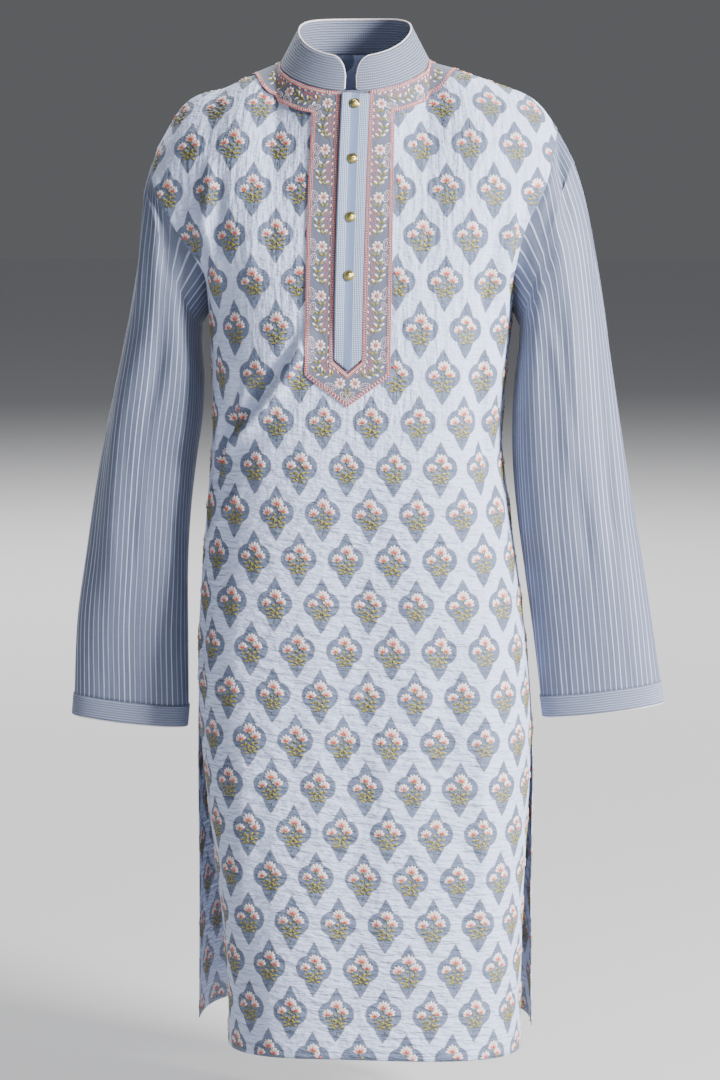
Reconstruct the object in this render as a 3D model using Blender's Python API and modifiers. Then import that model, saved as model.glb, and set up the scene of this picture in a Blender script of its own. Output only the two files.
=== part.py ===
"""Kurta tunic: a knee-length shirt of printed cloth with a band collar, a half placket, an
embroidered neck panel, long striped sleeves and stitched cuffs, hollow as when it is worn.

Metres, +Z up, front faces -Y. Left and right are the wearer's, so left is +X. The origin is
the middle of the neck opening, where neck and shoulders carry the garment.
"""
import math

import bmesh
import bpy
import numpy as np
from mathutils import Vector
from mathutils.bvhtree import BVHTree

# ---------------------------------------------------------------- driving dimensions
CLOTH = 0.0016            # wall of the body and the sleeves
BAND_WALL = 0.0024        # interfaced collar and cuffs
TRIM_WALL = 0.0012        # placket strip and neck panel
SEAM = 0.0004             # half of the room left at a seam of the body
SHOULDER_SEAM = 0.0011    # the same where the panels meet on the ridge of the shoulder
SLEEVE_ROOM = 0.0025      # from armhole edge to sleeve head
TRIM_ROOM = 0.0007        # from a panel to the trim lying on it
RING_ROOM = 0.0017        # the same round the neck, where the cloth curves both ways

UNDERARM_Z = -0.245
SLIT_TOP_Z = -0.590
SLIT_INSET_LEFT = 0.012   # how far the front's slit edges draw in at the hem
SLIT_INSET_RIGHT = 0.038
SLIT_FORWARD = 0.016
HEM_FRONT_Z = -1.025
HEM_CORNER_DROP = 0.020
HEM_BACK_Z = -1.030

NECK_X = -0.005           # the neck sits a little to the right of the middle
NECK_Y = -0.004
NECK_HALF_WIDTH = 0.078
NECK_HALF_DEPTH = 0.064
NECK_SHARE = 0.36         # share of a panel's columns that end on the neckline

YOKE_ROUNDNESS = 2.2      # how squarely the cloth rolls over the shoulder
YOKE_SLOPE = 2.2          # how late it leans back towards the neck in the middle

COLLAR_ROOM = 0.0014      # from the neckline up to the band
COLLAR_HEIGHT = 0.033
COLLAR_LEAN_SIDE = 0.018
COLLAR_LEAN_FRONT = 0.011
COLLAR_GAP = 0.0064       # half of the opening at the front
COLLAR_CORNER = 0.015     # radius of the front corners
COLLAR_END = 0.42         # height of the straight front end, as a share of the whole

PLACKET_HALF_WIDTH = 0.0143
PLACKET_TOP_Z = -0.0205
PLACKET_END_Z = -0.2915
PLACKET_POINT = 0.0115
PLACKET_LEAN = 0.0055     # its top lies this far to the left of its lower end

RING_INNER = 0.0042       # edges of the ring part, from the neck seam
RING_OUTER = 0.0300
PANEL_INNER = 0.0150       # edges of the straight parts at their lower end, from the middle
PANEL_OUTER = 0.0440
PANEL_CORNERS = {          # degrees round the neck where straight parts start: inner, outer edge
    1: (14.5, 27.0),
    -1: (7.0, 22.5),
}
PANEL_INNER_END_Z = -0.2935
PANEL_INNER_POINT = 0.0125
PANEL_OUTER_END_Z = -0.308
PANEL_OUTER_POINT = 0.032

BUTTON_RADIUS = 0.0053
BUTTON_HEIGHT = 0.0036
BUTTON_EDGE = 0.0009
BUTTON_Z = (-0.032, -0.088, -0.147, -0.206)

CUFF_HEIGHT = 0.0205
PIPING_RADIUS = 0.0009
COLLAR_PIPING_GAP = 0.0010
CUFF_PIPING_GAP = 0.0004

BODY_COLUMNS = 22
SKIRT_ROWS = 14
YOKE_ROWS = 10
SLEEVE_COLUMNS = 18
SLEEVE_ROWS = 14
COLLAR_PIPING_STEPS = 52
CUFF_PIPING_STEPS = 24
RIBBON_CELLS = (("tip", 3), ("leg", 13), ("ring", 12))   # of half the front neck panel

# Body sections: height, half widths to the left and right, depths, and where the centre front lies
# columns: z, left, right, front, back, centre
BODY = (
    (-0.245, 0.162, 0.160, 0.111, 0.112, -0.005),
    (-0.310, 0.157, 0.157, 0.113, 0.107, -0.005),
    (-0.372, 0.152, 0.157, 0.111, 0.099, -0.006),
    (-0.458, 0.161, 0.164, 0.108, 0.099, -0.007),
    (-0.544, 0.173, 0.171, 0.110, 0.110, -0.008),
    (-0.672, 0.186, 0.177, 0.115, 0.118, -0.010),
    (-0.886, 0.188, 0.178, 0.121, 0.117, -0.014),
    (-1.060, 0.190, 0.180, 0.125, 0.116, -0.017),
)

# Shoulder seam from the neck to the tip: share of the way, then x and z on either side
# columns: along, left_x, left_z, right_x, right_z
SHOULDER = (
    (0.00, 0.0730, 0.0140, -0.0830, 0.0140),
    (0.50, 0.1420, -0.0075, -0.1400, -0.0105),
    (0.85, 0.1900, -0.0310, -0.1920, -0.0350),
    (1.00, 0.2080, -0.0550, -0.2155, -0.0730),
)

# Armhole from the underarm up to the shoulder tip
# columns: up, left_x, left_z, right_x, right_z, front_y, back_y
ARMHOLE = (
    (0.0, 0.1620, -0.2450, -0.1600, -0.2450, 0.000, 0.000),
    (0.2, 0.1650, -0.2040, -0.1630, -0.2020, -0.050, 0.056),
    (0.4, 0.1760, -0.1580, -0.1860, -0.1640, -0.062, 0.070),
    (0.6, 0.1945, -0.1200, -0.2070, -0.1300, -0.056, 0.062),
    (0.8, 0.2030, -0.0850, -0.2165, -0.1000, -0.038, 0.042),
    (1.0, 0.2080, -0.0550, -0.2155, -0.0730, 0.000, 0.000),
)

# Sleeve rings from the armhole down: outer and inner point, half depth, middle in y
# columns: outer_x, outer_z, inner_x, inner_z, depth, y
SLEEVE_LEFT = (
    (0.2240, -0.0880, 0.1700, -0.2620, 0.070, 0.004),
    (0.2370, -0.1350, 0.1690, -0.2850, 0.071, 0.003),
    (0.2500, -0.2000, 0.1650, -0.3200, 0.067, 0.000),
    (0.2630, -0.2800, 0.1630, -0.3600, 0.060, -0.003),
    (0.2750, -0.3550, 0.1640, -0.4100, 0.052, -0.006),
    (0.2885, -0.4300, 0.1695, -0.4650, 0.045, -0.008),
    (0.3020, -0.5050, 0.1780, -0.5250, 0.038, -0.010),
    (0.3145, -0.5800, 0.1880, -0.5950, 0.031, -0.012),
    (0.3240, -0.6410, 0.1960, -0.6580, 0.025, -0.013),
)
SLEEVE_RIGHT = (
    (-0.2255, -0.1080, -0.1710, -0.2620, 0.070, 0.004),
    (-0.2300, -0.1550, -0.1710, -0.2850, 0.071, 0.003),
    (-0.2390, -0.2150, -0.1680, -0.3200, 0.067, 0.000),
    (-0.2520, -0.2800, -0.1700, -0.3600, 0.060, -0.003),
    (-0.2690, -0.3550, -0.1770, -0.4100, 0.052, -0.006),
    (-0.2840, -0.4300, -0.1830, -0.4650, 0.045, -0.008),
    (-0.2960, -0.5050, -0.1860, -0.5250, 0.038, -0.010),
    (-0.3070, -0.5800, -0.1860, -0.5950, 0.031, -0.012),
    (-0.3115, -0.6620, -0.1860, -0.6740, 0.025, -0.013),
)

# Largest folds of a body panel: both ends as (share of the half width, height), reach and rise
# columns: from_s, from_z, to_s, to_z, reach, rise
FRONT_FOLDS = (
    (-0.20, -0.270, -0.62, -0.385, 0.016, 0.0050),
    (-0.32, -0.300, -0.80, -0.440, 0.018, -0.0045),
    (-0.78, -0.130, -0.70, -0.235, 0.015, 0.0045),
    (0.80, -0.150, 0.74, -0.330, 0.016, 0.0040),
    (0.62, -0.270, 0.72, -0.450, 0.018, -0.0040),
    (-0.55, -0.520, -0.62, -1.000, 0.030, 0.0040),
    (0.60, -0.560, 0.66, -1.000, 0.030, 0.0045),
    (0.05, -0.450, 0.10, -0.980, 0.040, -0.0030),
)
BACK_FOLDS = (
    (-0.55, -0.180, -0.35, -0.400, 0.022, 0.0045),
    (0.50, -0.200, 0.38, -0.420, 0.022, 0.0050),
    (-0.42, -0.520, -0.50, -1.000, 0.032, 0.0045),
    (0.12, -0.480, 0.10, -1.000, 0.036, -0.0040),
    (0.58, -0.540, 0.62, -1.000, 0.030, 0.0040),
)
# Long folds of a sleeve: turn about the arm (0 outer, 0.25 front), first and last ring, reach, rise
SLEEVE_FOLDS = (
    (0.10, 1.0, 5.5, 0.045, 0.0035),
    (0.26, 0.6, 4.5, 0.050, -0.0045),
    (0.36, 2.0, 7.0, 0.045, 0.0040),
    (0.62, 1.5, 6.0, 0.050, -0.0040),
    (0.80, 1.0, 6.5, 0.050, 0.0040),
)


# ---------------------------------------------------------------- curves through the tables
def smooth(table, column, at):
    """Value of a table's column at the given value of its first column, on one smooth curve."""
    keys = np.array([row[0] for row in table], float)
    values = np.array([row[column] for row in table], float)
    if keys[0] > keys[-1]:
        keys, values = keys[::-1], values[::-1]
    slopes = np.gradient(values, keys)
    at = min(max(at, keys[0]), keys[-1])
    i = min(int(np.searchsorted(keys, at, side="right")) - 1, len(keys) - 2)
    span = keys[i + 1] - keys[i]
    k = (at - keys[i]) / span
    bend_in = (1 + 2 * k) * (1 - k) ** 2 * values[i] + k * (1 - k) ** 2 * span * slopes[i]
    bend_out = k * k * (3 - 2 * k) * values[i + 1] - k * k * (1 - k) * span * slopes[i + 1]
    return bend_in + bend_out


def ease(low, high, value):
    k = min(max((value - low) / (high - low), 0.0), 1.0)
    return k * k * (3 - 2 * k)


def neck_point(turn):
    """Neckline at an angle from the centre front (0) round the left to the centre back (pi)."""
    x = NECK_X + NECK_HALF_WIDTH * math.sin(turn)
    y = NECK_Y - NECK_HALF_DEPTH * math.cos(turn)
    z = 0.0095 - 0.023 * math.cos(turn) - 0.0045 * math.cos(2 * turn)
    return Vector((x, y, z))


# ---------------------------------------------------------------- body panels
def body_ring(z, share, back):
    """Point of the body's section at height z, a share -1..1 of the way from the middle."""
    side = 1 if share >= 0 else -1
    left = smooth(BODY, 1, z)
    right = smooth(BODY, 2, z)
    depth = smooth(BODY, 4 if back else 3, z)
    centre = smooth(BODY, 5, z)
    open_slit = ease(0.0, SLIT_TOP_Z - HEM_BACK_Z, SLIT_TOP_Z - z)
    edge = left if side > 0 else right
    if not back:
        edge -= open_slit * (SLIT_INSET_LEFT if side > 0 else SLIT_INSET_RIGHT)
    reach = edge - side * centre
    power = 2 / 2.7
    turns = np.linspace(0, math.pi / 2, 60)
    across = reach * np.sin(turns) ** power
    forward = depth * np.cos(turns) ** power
    steps = np.hypot(np.diff(across), np.diff(forward))
    length = np.concatenate(([0], np.cumsum(steps)))
    at = abs(share) * length[-1]
    x = centre + side * np.interp(at, length, across)
    y = np.interp(at, length, forward) + SEAM + (0 if back else open_slit * SLIT_FORWARD)
    return Vector((x, y if back else -y, z))


def panel_top(share, back):
    """Top edge of a panel: half the neckline, then the shoulder seam out to the tip."""
    side = 1 if share >= 0 else -1
    if abs(share) <= NECK_SHARE:
        turn = math.pi / 2 * abs(share) / NECK_SHARE
        point = neck_point(side * (math.pi - turn if back else turn))
    else:
        along = (abs(share) - NECK_SHARE) / (1 - NECK_SHARE)
        first = 1 if side > 0 else 3
        x, z = smooth(SHOULDER, first, along), smooth(SHOULDER, first + 1, along)
        point = Vector((x, NECK_Y * (1 - along), z))
    point.y += SHOULDER_SEAM if back else -SHOULDER_SEAM
    return point


def armhole_point(up, side, back):
    first = 1 if side > 0 else 3
    seam = SEAM + (SHOULDER_SEAM - SEAM) * up
    y = smooth(ARMHOLE, 6 if back else 5, up) + (seam if back else -seam)
    return Vector((smooth(ARMHOLE, first, up), y, smooth(ARMHOLE, first + 1, up)))


def fold_lift(folds, share, z):
    """Rise of the cloth's folds: each is a soft ridge or trough along its own line."""
    lift = 0.0
    for from_s, from_z, to_s, to_z, reach, rise in folds:
        start = np.array((from_s * 0.24, from_z))
        line = np.array((to_s * 0.24, to_z)) - start
        place = np.array((share * 0.24, z)) - start
        along = place @ line / (line @ line)
        away = abs(place[0] * line[1] - place[1] * line[0]) / math.hypot(*line)
        ends = ease(-0.12, 0.2, along) * ease(-0.12, 0.2, 1 - along)
        lift += rise * ends * math.exp(-(away / reach) ** 2)
    return lift


def panel_point(share, rise, back):
    """Point of a panel: rise 0..1 is the skirt from hem to underarm, 1..2 the yoke above."""
    side = 1 if share >= 0 else -1
    folds = BACK_FOLDS if back else FRONT_FOLDS
    if rise <= 1:
        hem = HEM_BACK_Z if back else HEM_FRONT_Z - HEM_CORNER_DROP * share * share
        z = hem + (UNDERARM_Z - hem) * rise
        point = body_ring(z, share, back)
    else:
        turn = (rise - 1) * math.pi / 2
        lifted = math.sin(turn) ** (2 / YOKE_ROUNDNESS)
        over_shoulder = 1 - max(math.cos(turn), 0.0) ** (2 / YOKE_ROUNDNESS)
        at_neck = lifted ** YOKE_SLOPE
        rolled = at_neck + (over_shoulder - at_neck) * ease(0.18, 0.65, abs(share))
        base, top = body_ring(UNDERARM_Z, share, back), panel_top(share, back)
        corner_low, corner_high = body_ring(UNDERARM_Z, side, back), panel_top(side, back)
        edge = armhole_point(lifted, side, back)
        pull = abs(share) ** 3
        point = Vector()
        for axis, blend in enumerate((lifted, rolled, lifted)):
            straight = base[axis] + (top[axis] - base[axis]) * blend
            chord = corner_low[axis] + (corner_high[axis] - corner_low[axis]) * blend
            point[axis] = straight + pull * (edge[axis] - chord)
    outward = Vector((point.x / 0.03, point.y / 0.0125, 0)).normalized()
    calm = ease(0.0, 0.15, 1 - abs(share)) * ease(0.0, 0.25, 2 - rise)
    return point + outward * fold_lift(folds, share, point.z) * calm


def mapped_grid(columns, rows, place, joined=False):
    """A grid moved point by point by place(u, v), u and v from 0 to 1; joined closes it round."""
    mesh = bmesh.new()
    bmesh.ops.create_grid(mesh, x_segments=columns, y_segments=rows, size=0.5)
    for vert in mesh.verts:
        vert.co = place(vert.co.x + 0.5, vert.co.y + 0.5)
    if joined:
        bmesh.ops.remove_doubles(mesh, verts=mesh.verts, dist=0.00001)
    mesh.normal_update()
    return mesh


def build_panel(back, finer=1):
    rows = (SKIRT_ROWS + YOKE_ROWS) * finer

    def place(u, v):
        share = 1 - 2 * u if back else 2 * u - 1
        row = v * rows / finer
        rise = row / SKIRT_ROWS if row <= SKIRT_ROWS else 1 + (row - SKIRT_ROWS) / YOKE_ROWS
        return panel_point(share, rise, back)

    return mapped_grid(BODY_COLUMNS * finer, rows, place)


# ---------------------------------------------------------------- sleeves
def armhole_ring(turn, side):
    """Edge of the armhole at a turn 0..1 round it: tip, front, underarm, back."""
    back = turn > 0.5
    up = 0.5 + 0.5 * math.cos(2 * math.pi * turn)
    point = armhole_point(up, side, back)
    point.y *= 0.98
    out = Vector((side, 0, 0.25 * math.cos(2 * math.pi * turn))).normalized()
    return point + out * SLEEVE_ROOM


def sleeve_ring(table, ring, turn, side):
    """Ring of a sleeve: ring 0 is the armhole, later ones the rows of the table."""
    cos, sin = math.cos(2 * math.pi * turn), math.sin(2 * math.pi * turn)
    numbered = tuple((i + 1, *row) for i, row in enumerate(table))
    at = max(ring, 1.0)
    outer = Vector((smooth(numbered, 1, at), 0, smooth(numbered, 2, at)))
    inner = Vector((smooth(numbered, 3, at), 0, smooth(numbered, 4, at)))
    middle, half = (outer + inner) / 2, (outer - inner) / 2
    depth, y = smooth(numbered, 5, at), smooth(numbered, 6, at)
    point = middle + half * cos
    point.y = y - depth * math.copysign(abs(sin) ** 0.9, sin)
    if ring < 1:
        point = armhole_ring(turn, side).lerp(point, ring)
    outward = (point - middle - Vector((0, y, 0))).normalized()
    lift = 0.0
    for about, first, last, reach, rise in SLEEVE_FOLDS:
        away = (turn - about + 0.5) % 1 - 0.5
        ends = ease(first - 1, first + 1, ring) * ease(-last - 1, 1 - last, -ring)
        lift += rise * ends * math.exp(-(away / reach) ** 2)
    return point + outward * lift


def build_sleeve(table, side):
    rings = len(table)

    def place(u, v):
        turn = u if side > 0 else 1 - u
        return sleeve_ring(table, (1 - v) * rings, turn % 1, side)

    return mapped_grid(SLEEVE_COLUMNS, SLEEVE_ROWS, place, joined=True)


def cuff_edge(table, turn, down):
    """Cuff band below the sleeve's last ring, straight down the arm."""
    outer_x, outer_z, inner_x, inner_z, depth, y = table[-1]
    cos, sin = math.cos(2 * math.pi * turn), math.sin(2 * math.pi * turn)
    outer, inner = Vector((outer_x, 0, outer_z)), Vector((inner_x, 0, inner_z))
    side = 1 if outer_x > 0 else -1
    half = (outer - inner) / 2
    along = Vector((-half.z, 0, half.x)).normalized() * -side
    point = (outer + inner) / 2 + half * cos + along * down
    point.y = y - depth * math.copysign(abs(sin) ** 0.9, sin)
    return point


def build_cuff(table, side):
    def place(u, v):
        turn = u if side > 0 else 1 - u
        return cuff_edge(table, turn % 1, SEAM * 2 + (1 - v) * CUFF_HEIGHT)

    return mapped_grid(SLEEVE_COLUMNS, 2, place, joined=True)


# ---------------------------------------------------------------- collar
def collar_turn(u):
    """Angle round the neck for a share of the band's length, from one front end to the other."""
    gap = math.asin(COLLAR_GAP / NECK_HALF_WIDTH)
    closer_at_ends = u - 0.65 * math.sin(2 * math.pi * u) / (2 * math.pi)
    return gap + (2 * math.pi - 2 * gap) * closer_at_ends


def collar_point(u, up):
    """Point of the band: up 0 is the neck seam, 1 the top edge with its rounded ends."""
    turn = collar_turn(u)
    base = neck_point(turn)
    from_end = min(turn, 2 * math.pi - turn) * (NECK_HALF_WIDTH + NECK_HALF_DEPTH) / 2
    from_end -= COLLAR_GAP
    near = min(max(1 - from_end / COLLAR_CORNER, 0.0), 1.0)
    height = COLLAR_HEIGHT * (COLLAR_END + (1 - COLLAR_END) * math.sqrt(1 - near ** 2))
    lean = COLLAR_LEAN_FRONT + (COLLAR_LEAN_SIDE - COLLAR_LEAN_FRONT) * math.sin(turn) ** 2
    inward = Vector((-math.sin(turn), math.cos(turn), 0)) * lean * up * height / COLLAR_HEIGHT
    return base + inward + Vector((0, 0, COLLAR_ROOM + height * up))


def build_collar():
    return mapped_grid(40, 3, collar_point)


# ---------------------------------------------------------------- trim lying on the panels
def lay_on(tree, guess, lift, straight=False):
    """Point of a panel nearest the guess, or straight behind it, moved out along the normal."""
    if straight:
        place, normal, _, _ = tree.ray_cast(Vector((guess.x, -0.3, guess.z)), Vector((0, 1, 0)))
    else:
        place, normal, _, _ = tree.find_nearest(guess)
    return place + normal * lift


def placket_guess(across, z):
    """Place in front of the placket at shares of its half width; it leans a little as it rises."""
    rise = (z - PLACKET_END_Z) / (PLACKET_TOP_Z - PLACKET_END_Z)
    centre = smooth(BODY, 5, z) + PLACKET_LEAN * rise
    return Vector((centre + across * PLACKET_HALF_WIDTH, -0.13, z))


def build_placket(tree):
    lift = TRIM_ROOM + TRIM_WALL

    def place(u, v):
        across = 2 * u - 1
        end = PLACKET_END_Z - PLACKET_POINT * (1 - abs(across))
        z = PLACKET_TOP_Z + (end - PLACKET_TOP_Z) * (1 - v)
        return lay_on(tree, placket_guess(across, z), lift, True)

    return mapped_grid(4, 17, place)


def neck_ring_point(turn, out):
    """Guess for the ring part: out metres away from the neck seam at an angle round the neck."""
    base = neck_point(turn)
    away = Vector((math.sin(turn), -math.cos(turn), 0))
    fall = 0.42 + 0.35 * math.cos(turn) ** 2
    return base + away * out * 0.93 - Vector((0, 0, fall * out))


def panel_tip_point(side, way, inner):
    width, end, point = ((PANEL_INNER, PANEL_INNER_END_Z, PANEL_INNER_POINT) if inner else
                         (PANEL_OUTER, PANEL_OUTER_END_Z, PANEL_OUTER_POINT))
    z = end - point * (1 - way)
    return Vector((smooth(BODY, 5, z) + side * width * way, -0.13, z))


def front_panel_outline(u, inner):
    """Inner or outer edge of the front neck panel, u 0..1 from right shoulder to left."""
    side = 1 if u > 0.5 else -1
    tip, leg, ring = (cells for _, cells in RIBBON_CELLS)
    cell = abs(2 * u - 1) * (tip + leg + ring)
    if cell <= tip:
        return panel_tip_point(side, cell / tip, inner)
    start = math.radians(PANEL_CORNERS[side][0 if inner else 1])
    turn = start + (math.pi / 2 - 0.02 - start) * max(cell - tip - leg, 0) / ring
    point = neck_ring_point(side * turn, RING_INNER if inner else RING_OUTER)
    down = max(1 - (cell - tip) / leg, 0)
    return point.lerp(panel_tip_point(side, 1, inner), down)


def build_front_neck_panel(tree):
    half = sum(cells for _, cells in RIBBON_CELLS)

    def place(u, v):
        guess = front_panel_outline(u, True).lerp(front_panel_outline(u, False), 1 - v)
        into_ring = abs(2 * u - 1) * half - (half - RIBBON_CELLS[2][1])
        room = TRIM_ROOM + (RING_ROOM - TRIM_ROOM) * ease(-1.0, 0.0, into_ring)
        return lay_on(tree, guess, TRIM_WALL + room, into_ring < 0.5)

    return mapped_grid(2 * half, 3, place)


def build_back_neck_panel(tree):
    lift = RING_ROOM + TRIM_WALL

    def place(u, v):
        turn = math.pi / 2 + 0.02 + (math.pi - 0.04) * u
        out = RING_INNER + (RING_OUTER - RING_INNER) * (1 - v)
        return lay_on(tree, neck_ring_point(turn, out), lift)

    return mapped_grid(20, 3, place)


# ---------------------------------------------------------------- finishing and materials
def material(name, colour, roughness, metallic=0.0):
    made = bpy.data.materials.new(name)
    made.use_nodes = True
    shader = made.node_tree.nodes["Principled BSDF"]
    shader.inputs["Base Color"].default_value = (*colour, 1)
    shader.inputs["Roughness"].default_value = roughness
    shader.inputs["Metallic"].default_value = metallic
    made.diffuse_color = (*colour, 1)
    return made


def finish(name, data, finish_material, collection):
    thing = bpy.data.objects.new(name, data)
    data.materials.append(finish_material)
    collection.objects.link(thing)
    return thing


def cloth_piece(name, mesh, wall, finish_material, collection):
    """Turn an open surface, its faces pointing out, into a wall that lies inside it."""
    data = bpy.data.meshes.new(name)
    mesh.to_mesh(data)
    mesh.free()
    data.shade_smooth()
    thing = finish(name, data, finish_material, collection)
    solid = thing.modifiers.new("wall", "SOLIDIFY")
    solid.thickness = wall
    solid.offset = -1
    solid.use_even_offset = True
    return thing


def piping(name, points, closed, finish_material, collection):
    curve = bpy.data.curves.new(name, "CURVE")
    curve.dimensions = "3D"
    curve.bevel_depth = PIPING_RADIUS
    curve.bevel_resolution = 1
    curve.use_fill_caps = True
    spline = curve.splines.new("POLY")
    spline.points.add(len(points) - 1)
    for spot, point in zip(spline.points, points):
        spot.co = (*point, 1)
    spline.use_cyclic_u = closed
    return finish(name, curve, finish_material, collection)


def build_button(name, tree, z, finish_material, collection):
    """A turned dome button, standing on the placket along the panel's normal."""
    mesh = bmesh.new()
    steps = 6
    dome = BUTTON_HEIGHT - BUTTON_EDGE
    profile = [(0.0, BUTTON_HEIGHT)]
    for i in range(1, steps + 1):
        turn = math.pi / 2 * i / steps
        profile.append((BUTTON_RADIUS * math.sin(turn), BUTTON_EDGE + dome * math.cos(turn)))
    profile += [(BUTTON_RADIUS * 0.92, 0.0), (0.0, 0.0)]
    verts = [mesh.verts.new((radius, 0, height)) for radius, height in profile]
    for first, second in zip(verts, verts[1:]):
        mesh.edges.new((first, second))
    data = bpy.data.meshes.new(name)
    mesh.to_mesh(data)
    mesh.free()
    thing = finish(name, data, finish_material, collection)
    turned = thing.modifiers.new("turned", "SCREW")
    turned.steps = 20
    turned.render_steps = 20
    turned.use_merge_vertices = True
    turned.merge_threshold = 0.00001
    seat = placket_guess(0, z)
    height = 2 * TRIM_ROOM + TRIM_WALL
    thing.location = lay_on(tree, seat, height, True)
    thing.rotation_mode = "QUATERNION"
    thing.rotation_quaternion = (thing.location - lay_on(tree, seat, 0, True)).to_track_quat("Z", "Y")
    return thing


def main():
    for thing in list(bpy.data.objects):
        bpy.data.objects.remove(thing, do_unlink=True)
    kurta = bpy.data.collections.new("kurta_tunic")
    bpy.context.scene.collection.children.link(kurta)

    printed = material("printed_cloth", (0.66, 0.70, 0.77), 0.85)
    striped = material("striped_cloth", (0.35, 0.41, 0.52), 0.80)
    band = material("band_cloth", (0.36, 0.42, 0.54), 0.80)
    embroidered = material("embroidered_cloth", (0.45, 0.43, 0.47), 0.85)
    white = material("white_piping", (0.80, 0.82, 0.86), 0.70)
    brass = material("brass", (0.60, 0.52, 0.24), 0.35, 0.9)

    front_tree = BVHTree.FromBMesh(build_panel(False, finer=3))
    back_tree = BVHTree.FromBMesh(build_panel(True, finer=3))
    cloth_piece("placket", build_placket(front_tree), TRIM_WALL, striped, kurta)
    cloth_piece("neck_panel_front", build_front_neck_panel(front_tree), TRIM_WALL, embroidered, kurta)
    cloth_piece("neck_panel_back", build_back_neck_panel(back_tree), TRIM_WALL, embroidered, kurta)
    for number, z in enumerate(BUTTON_Z, 1):
        build_button(f"button_{number}", front_tree, z, brass, kurta)
    cloth_piece("front", build_panel(False), CLOTH, printed, kurta)
    cloth_piece("back", build_panel(True), CLOTH, printed, kurta)

    cloth_piece("collar", build_collar(), BAND_WALL, band, kurta)
    above = Vector((0, 0, PIPING_RADIUS + COLLAR_PIPING_GAP))
    rim = [collar_point(i / COLLAR_PIPING_STEPS, 1) + above for i in range(COLLAR_PIPING_STEPS + 1)]
    piping("collar_piping", rim, False, white, kurta)

    for name, table, side in (("left", SLEEVE_LEFT, 1), ("right", SLEEVE_RIGHT, -1)):
        cloth_piece(f"sleeve_{name}", build_sleeve(table, side), CLOTH, striped, kurta)
        cloth_piece(f"cuff_{name}", build_cuff(table, side), BAND_WALL, band, kurta)
        low = SEAM * 2 + CUFF_HEIGHT + PIPING_RADIUS + CUFF_PIPING_GAP
        rim = [cuff_edge(table, i / CUFF_PIPING_STEPS, low) for i in range(CUFF_PIPING_STEPS)]
        piping(f"cuff_piping_{name}", rim, True, white, kurta)


main()
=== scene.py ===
"""Kurta tunic, dressed: printed and embroidered body, striped sleeves, stitched bands, brass buttons.

Metres, +Z up, front faces -Y; left and right are the wearer's, so left is +X. Every cloth piece is a
grid of points with the same grid in its flat cut, so prints, stripes and stitches are laid out in the
cloth's own metres: a runs crosswise from the middle, b lengthwise and up.
"""

import math

import bmesh
import bpy
import numpy as np
from mathutils import Matrix, Vector
from mathutils.bvhtree import BVHTree


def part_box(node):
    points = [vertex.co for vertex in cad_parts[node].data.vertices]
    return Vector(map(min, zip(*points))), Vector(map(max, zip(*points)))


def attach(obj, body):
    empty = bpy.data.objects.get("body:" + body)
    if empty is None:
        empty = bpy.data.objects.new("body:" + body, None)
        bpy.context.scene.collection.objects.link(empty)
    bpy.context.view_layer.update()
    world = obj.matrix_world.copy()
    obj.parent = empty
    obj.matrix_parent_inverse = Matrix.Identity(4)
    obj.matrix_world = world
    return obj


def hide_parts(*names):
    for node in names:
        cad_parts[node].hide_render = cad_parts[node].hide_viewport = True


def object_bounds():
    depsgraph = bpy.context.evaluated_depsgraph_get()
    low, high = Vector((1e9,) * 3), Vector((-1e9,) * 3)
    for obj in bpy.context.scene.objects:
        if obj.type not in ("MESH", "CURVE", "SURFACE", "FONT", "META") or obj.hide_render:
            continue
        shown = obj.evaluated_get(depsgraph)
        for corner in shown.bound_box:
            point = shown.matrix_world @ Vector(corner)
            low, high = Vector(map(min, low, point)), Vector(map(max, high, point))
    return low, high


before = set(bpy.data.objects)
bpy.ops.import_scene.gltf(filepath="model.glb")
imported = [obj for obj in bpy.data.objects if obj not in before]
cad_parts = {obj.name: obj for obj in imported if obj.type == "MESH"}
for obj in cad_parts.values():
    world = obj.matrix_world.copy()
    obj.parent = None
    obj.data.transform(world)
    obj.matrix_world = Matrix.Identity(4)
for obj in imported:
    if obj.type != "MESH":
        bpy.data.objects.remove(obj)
cad_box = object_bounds()

# ---------------------------------------------------------------- driving dimensions
CLOTH = 0.0009            # cloth of the body and the sleeves
BAND = 0.0020             # interfaced collar and cuffs
TRIM = 0.0009             # placket strip and neck panel
TRIM_LIFT = 0.0014        # outer face of a trim above the panel that it lies on
PLACKET_OVER = 0.0006     # placket strip above the neck panels
PLACKET_STAND = 0.0022    # how far its right edge stands off the body
TUCK = 0.006              # how far a sleeve head runs in under the body
SEAM_EASE = 0.0012        # how far a sleeve sits in at the armhole seam
CUFF_STAND = 0.0012       # outer face of a cuff beyond the sleeve's rim
HEAD_RING = 1.5           # sleeve ring above which its flat cut runs straight on
LAST_RING = 9             # sleeve ring at the cuff seam
FOLD_SCALE = 0.24         # metres to one share of a panel's half width, for its folds

# Cells of the cloths' grids
BODY_CELLS = 120          # across a body panel
SKIRT_CELLS = 190         # from the hem up to the underarm
YOKE_CELLS = 80           # from the underarm up to the neck
COARSE_CELL = (5, 4)      # fine rows and columns to one cell of the grid that is opened flat
UNEASED_ROWS = 2          # coarse rows at the neck whose cut runs straight on
ARM_CELLS = 96            # round a sleeve or a cuff
SLEEVE_CELLS = 132        # along a sleeve
TUCK_CELLS = 3            # up its tucked head
CUFF_CELLS = 8            # up a cuff
COLLAR_CELLS = (240, 14)  # along and up the collar
TRIM_CELLS = 12           # across a neck panel
BACK_TRIM_CELLS = 120     # along the back one
PLACKET_CELLS = (16, 110)

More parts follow.
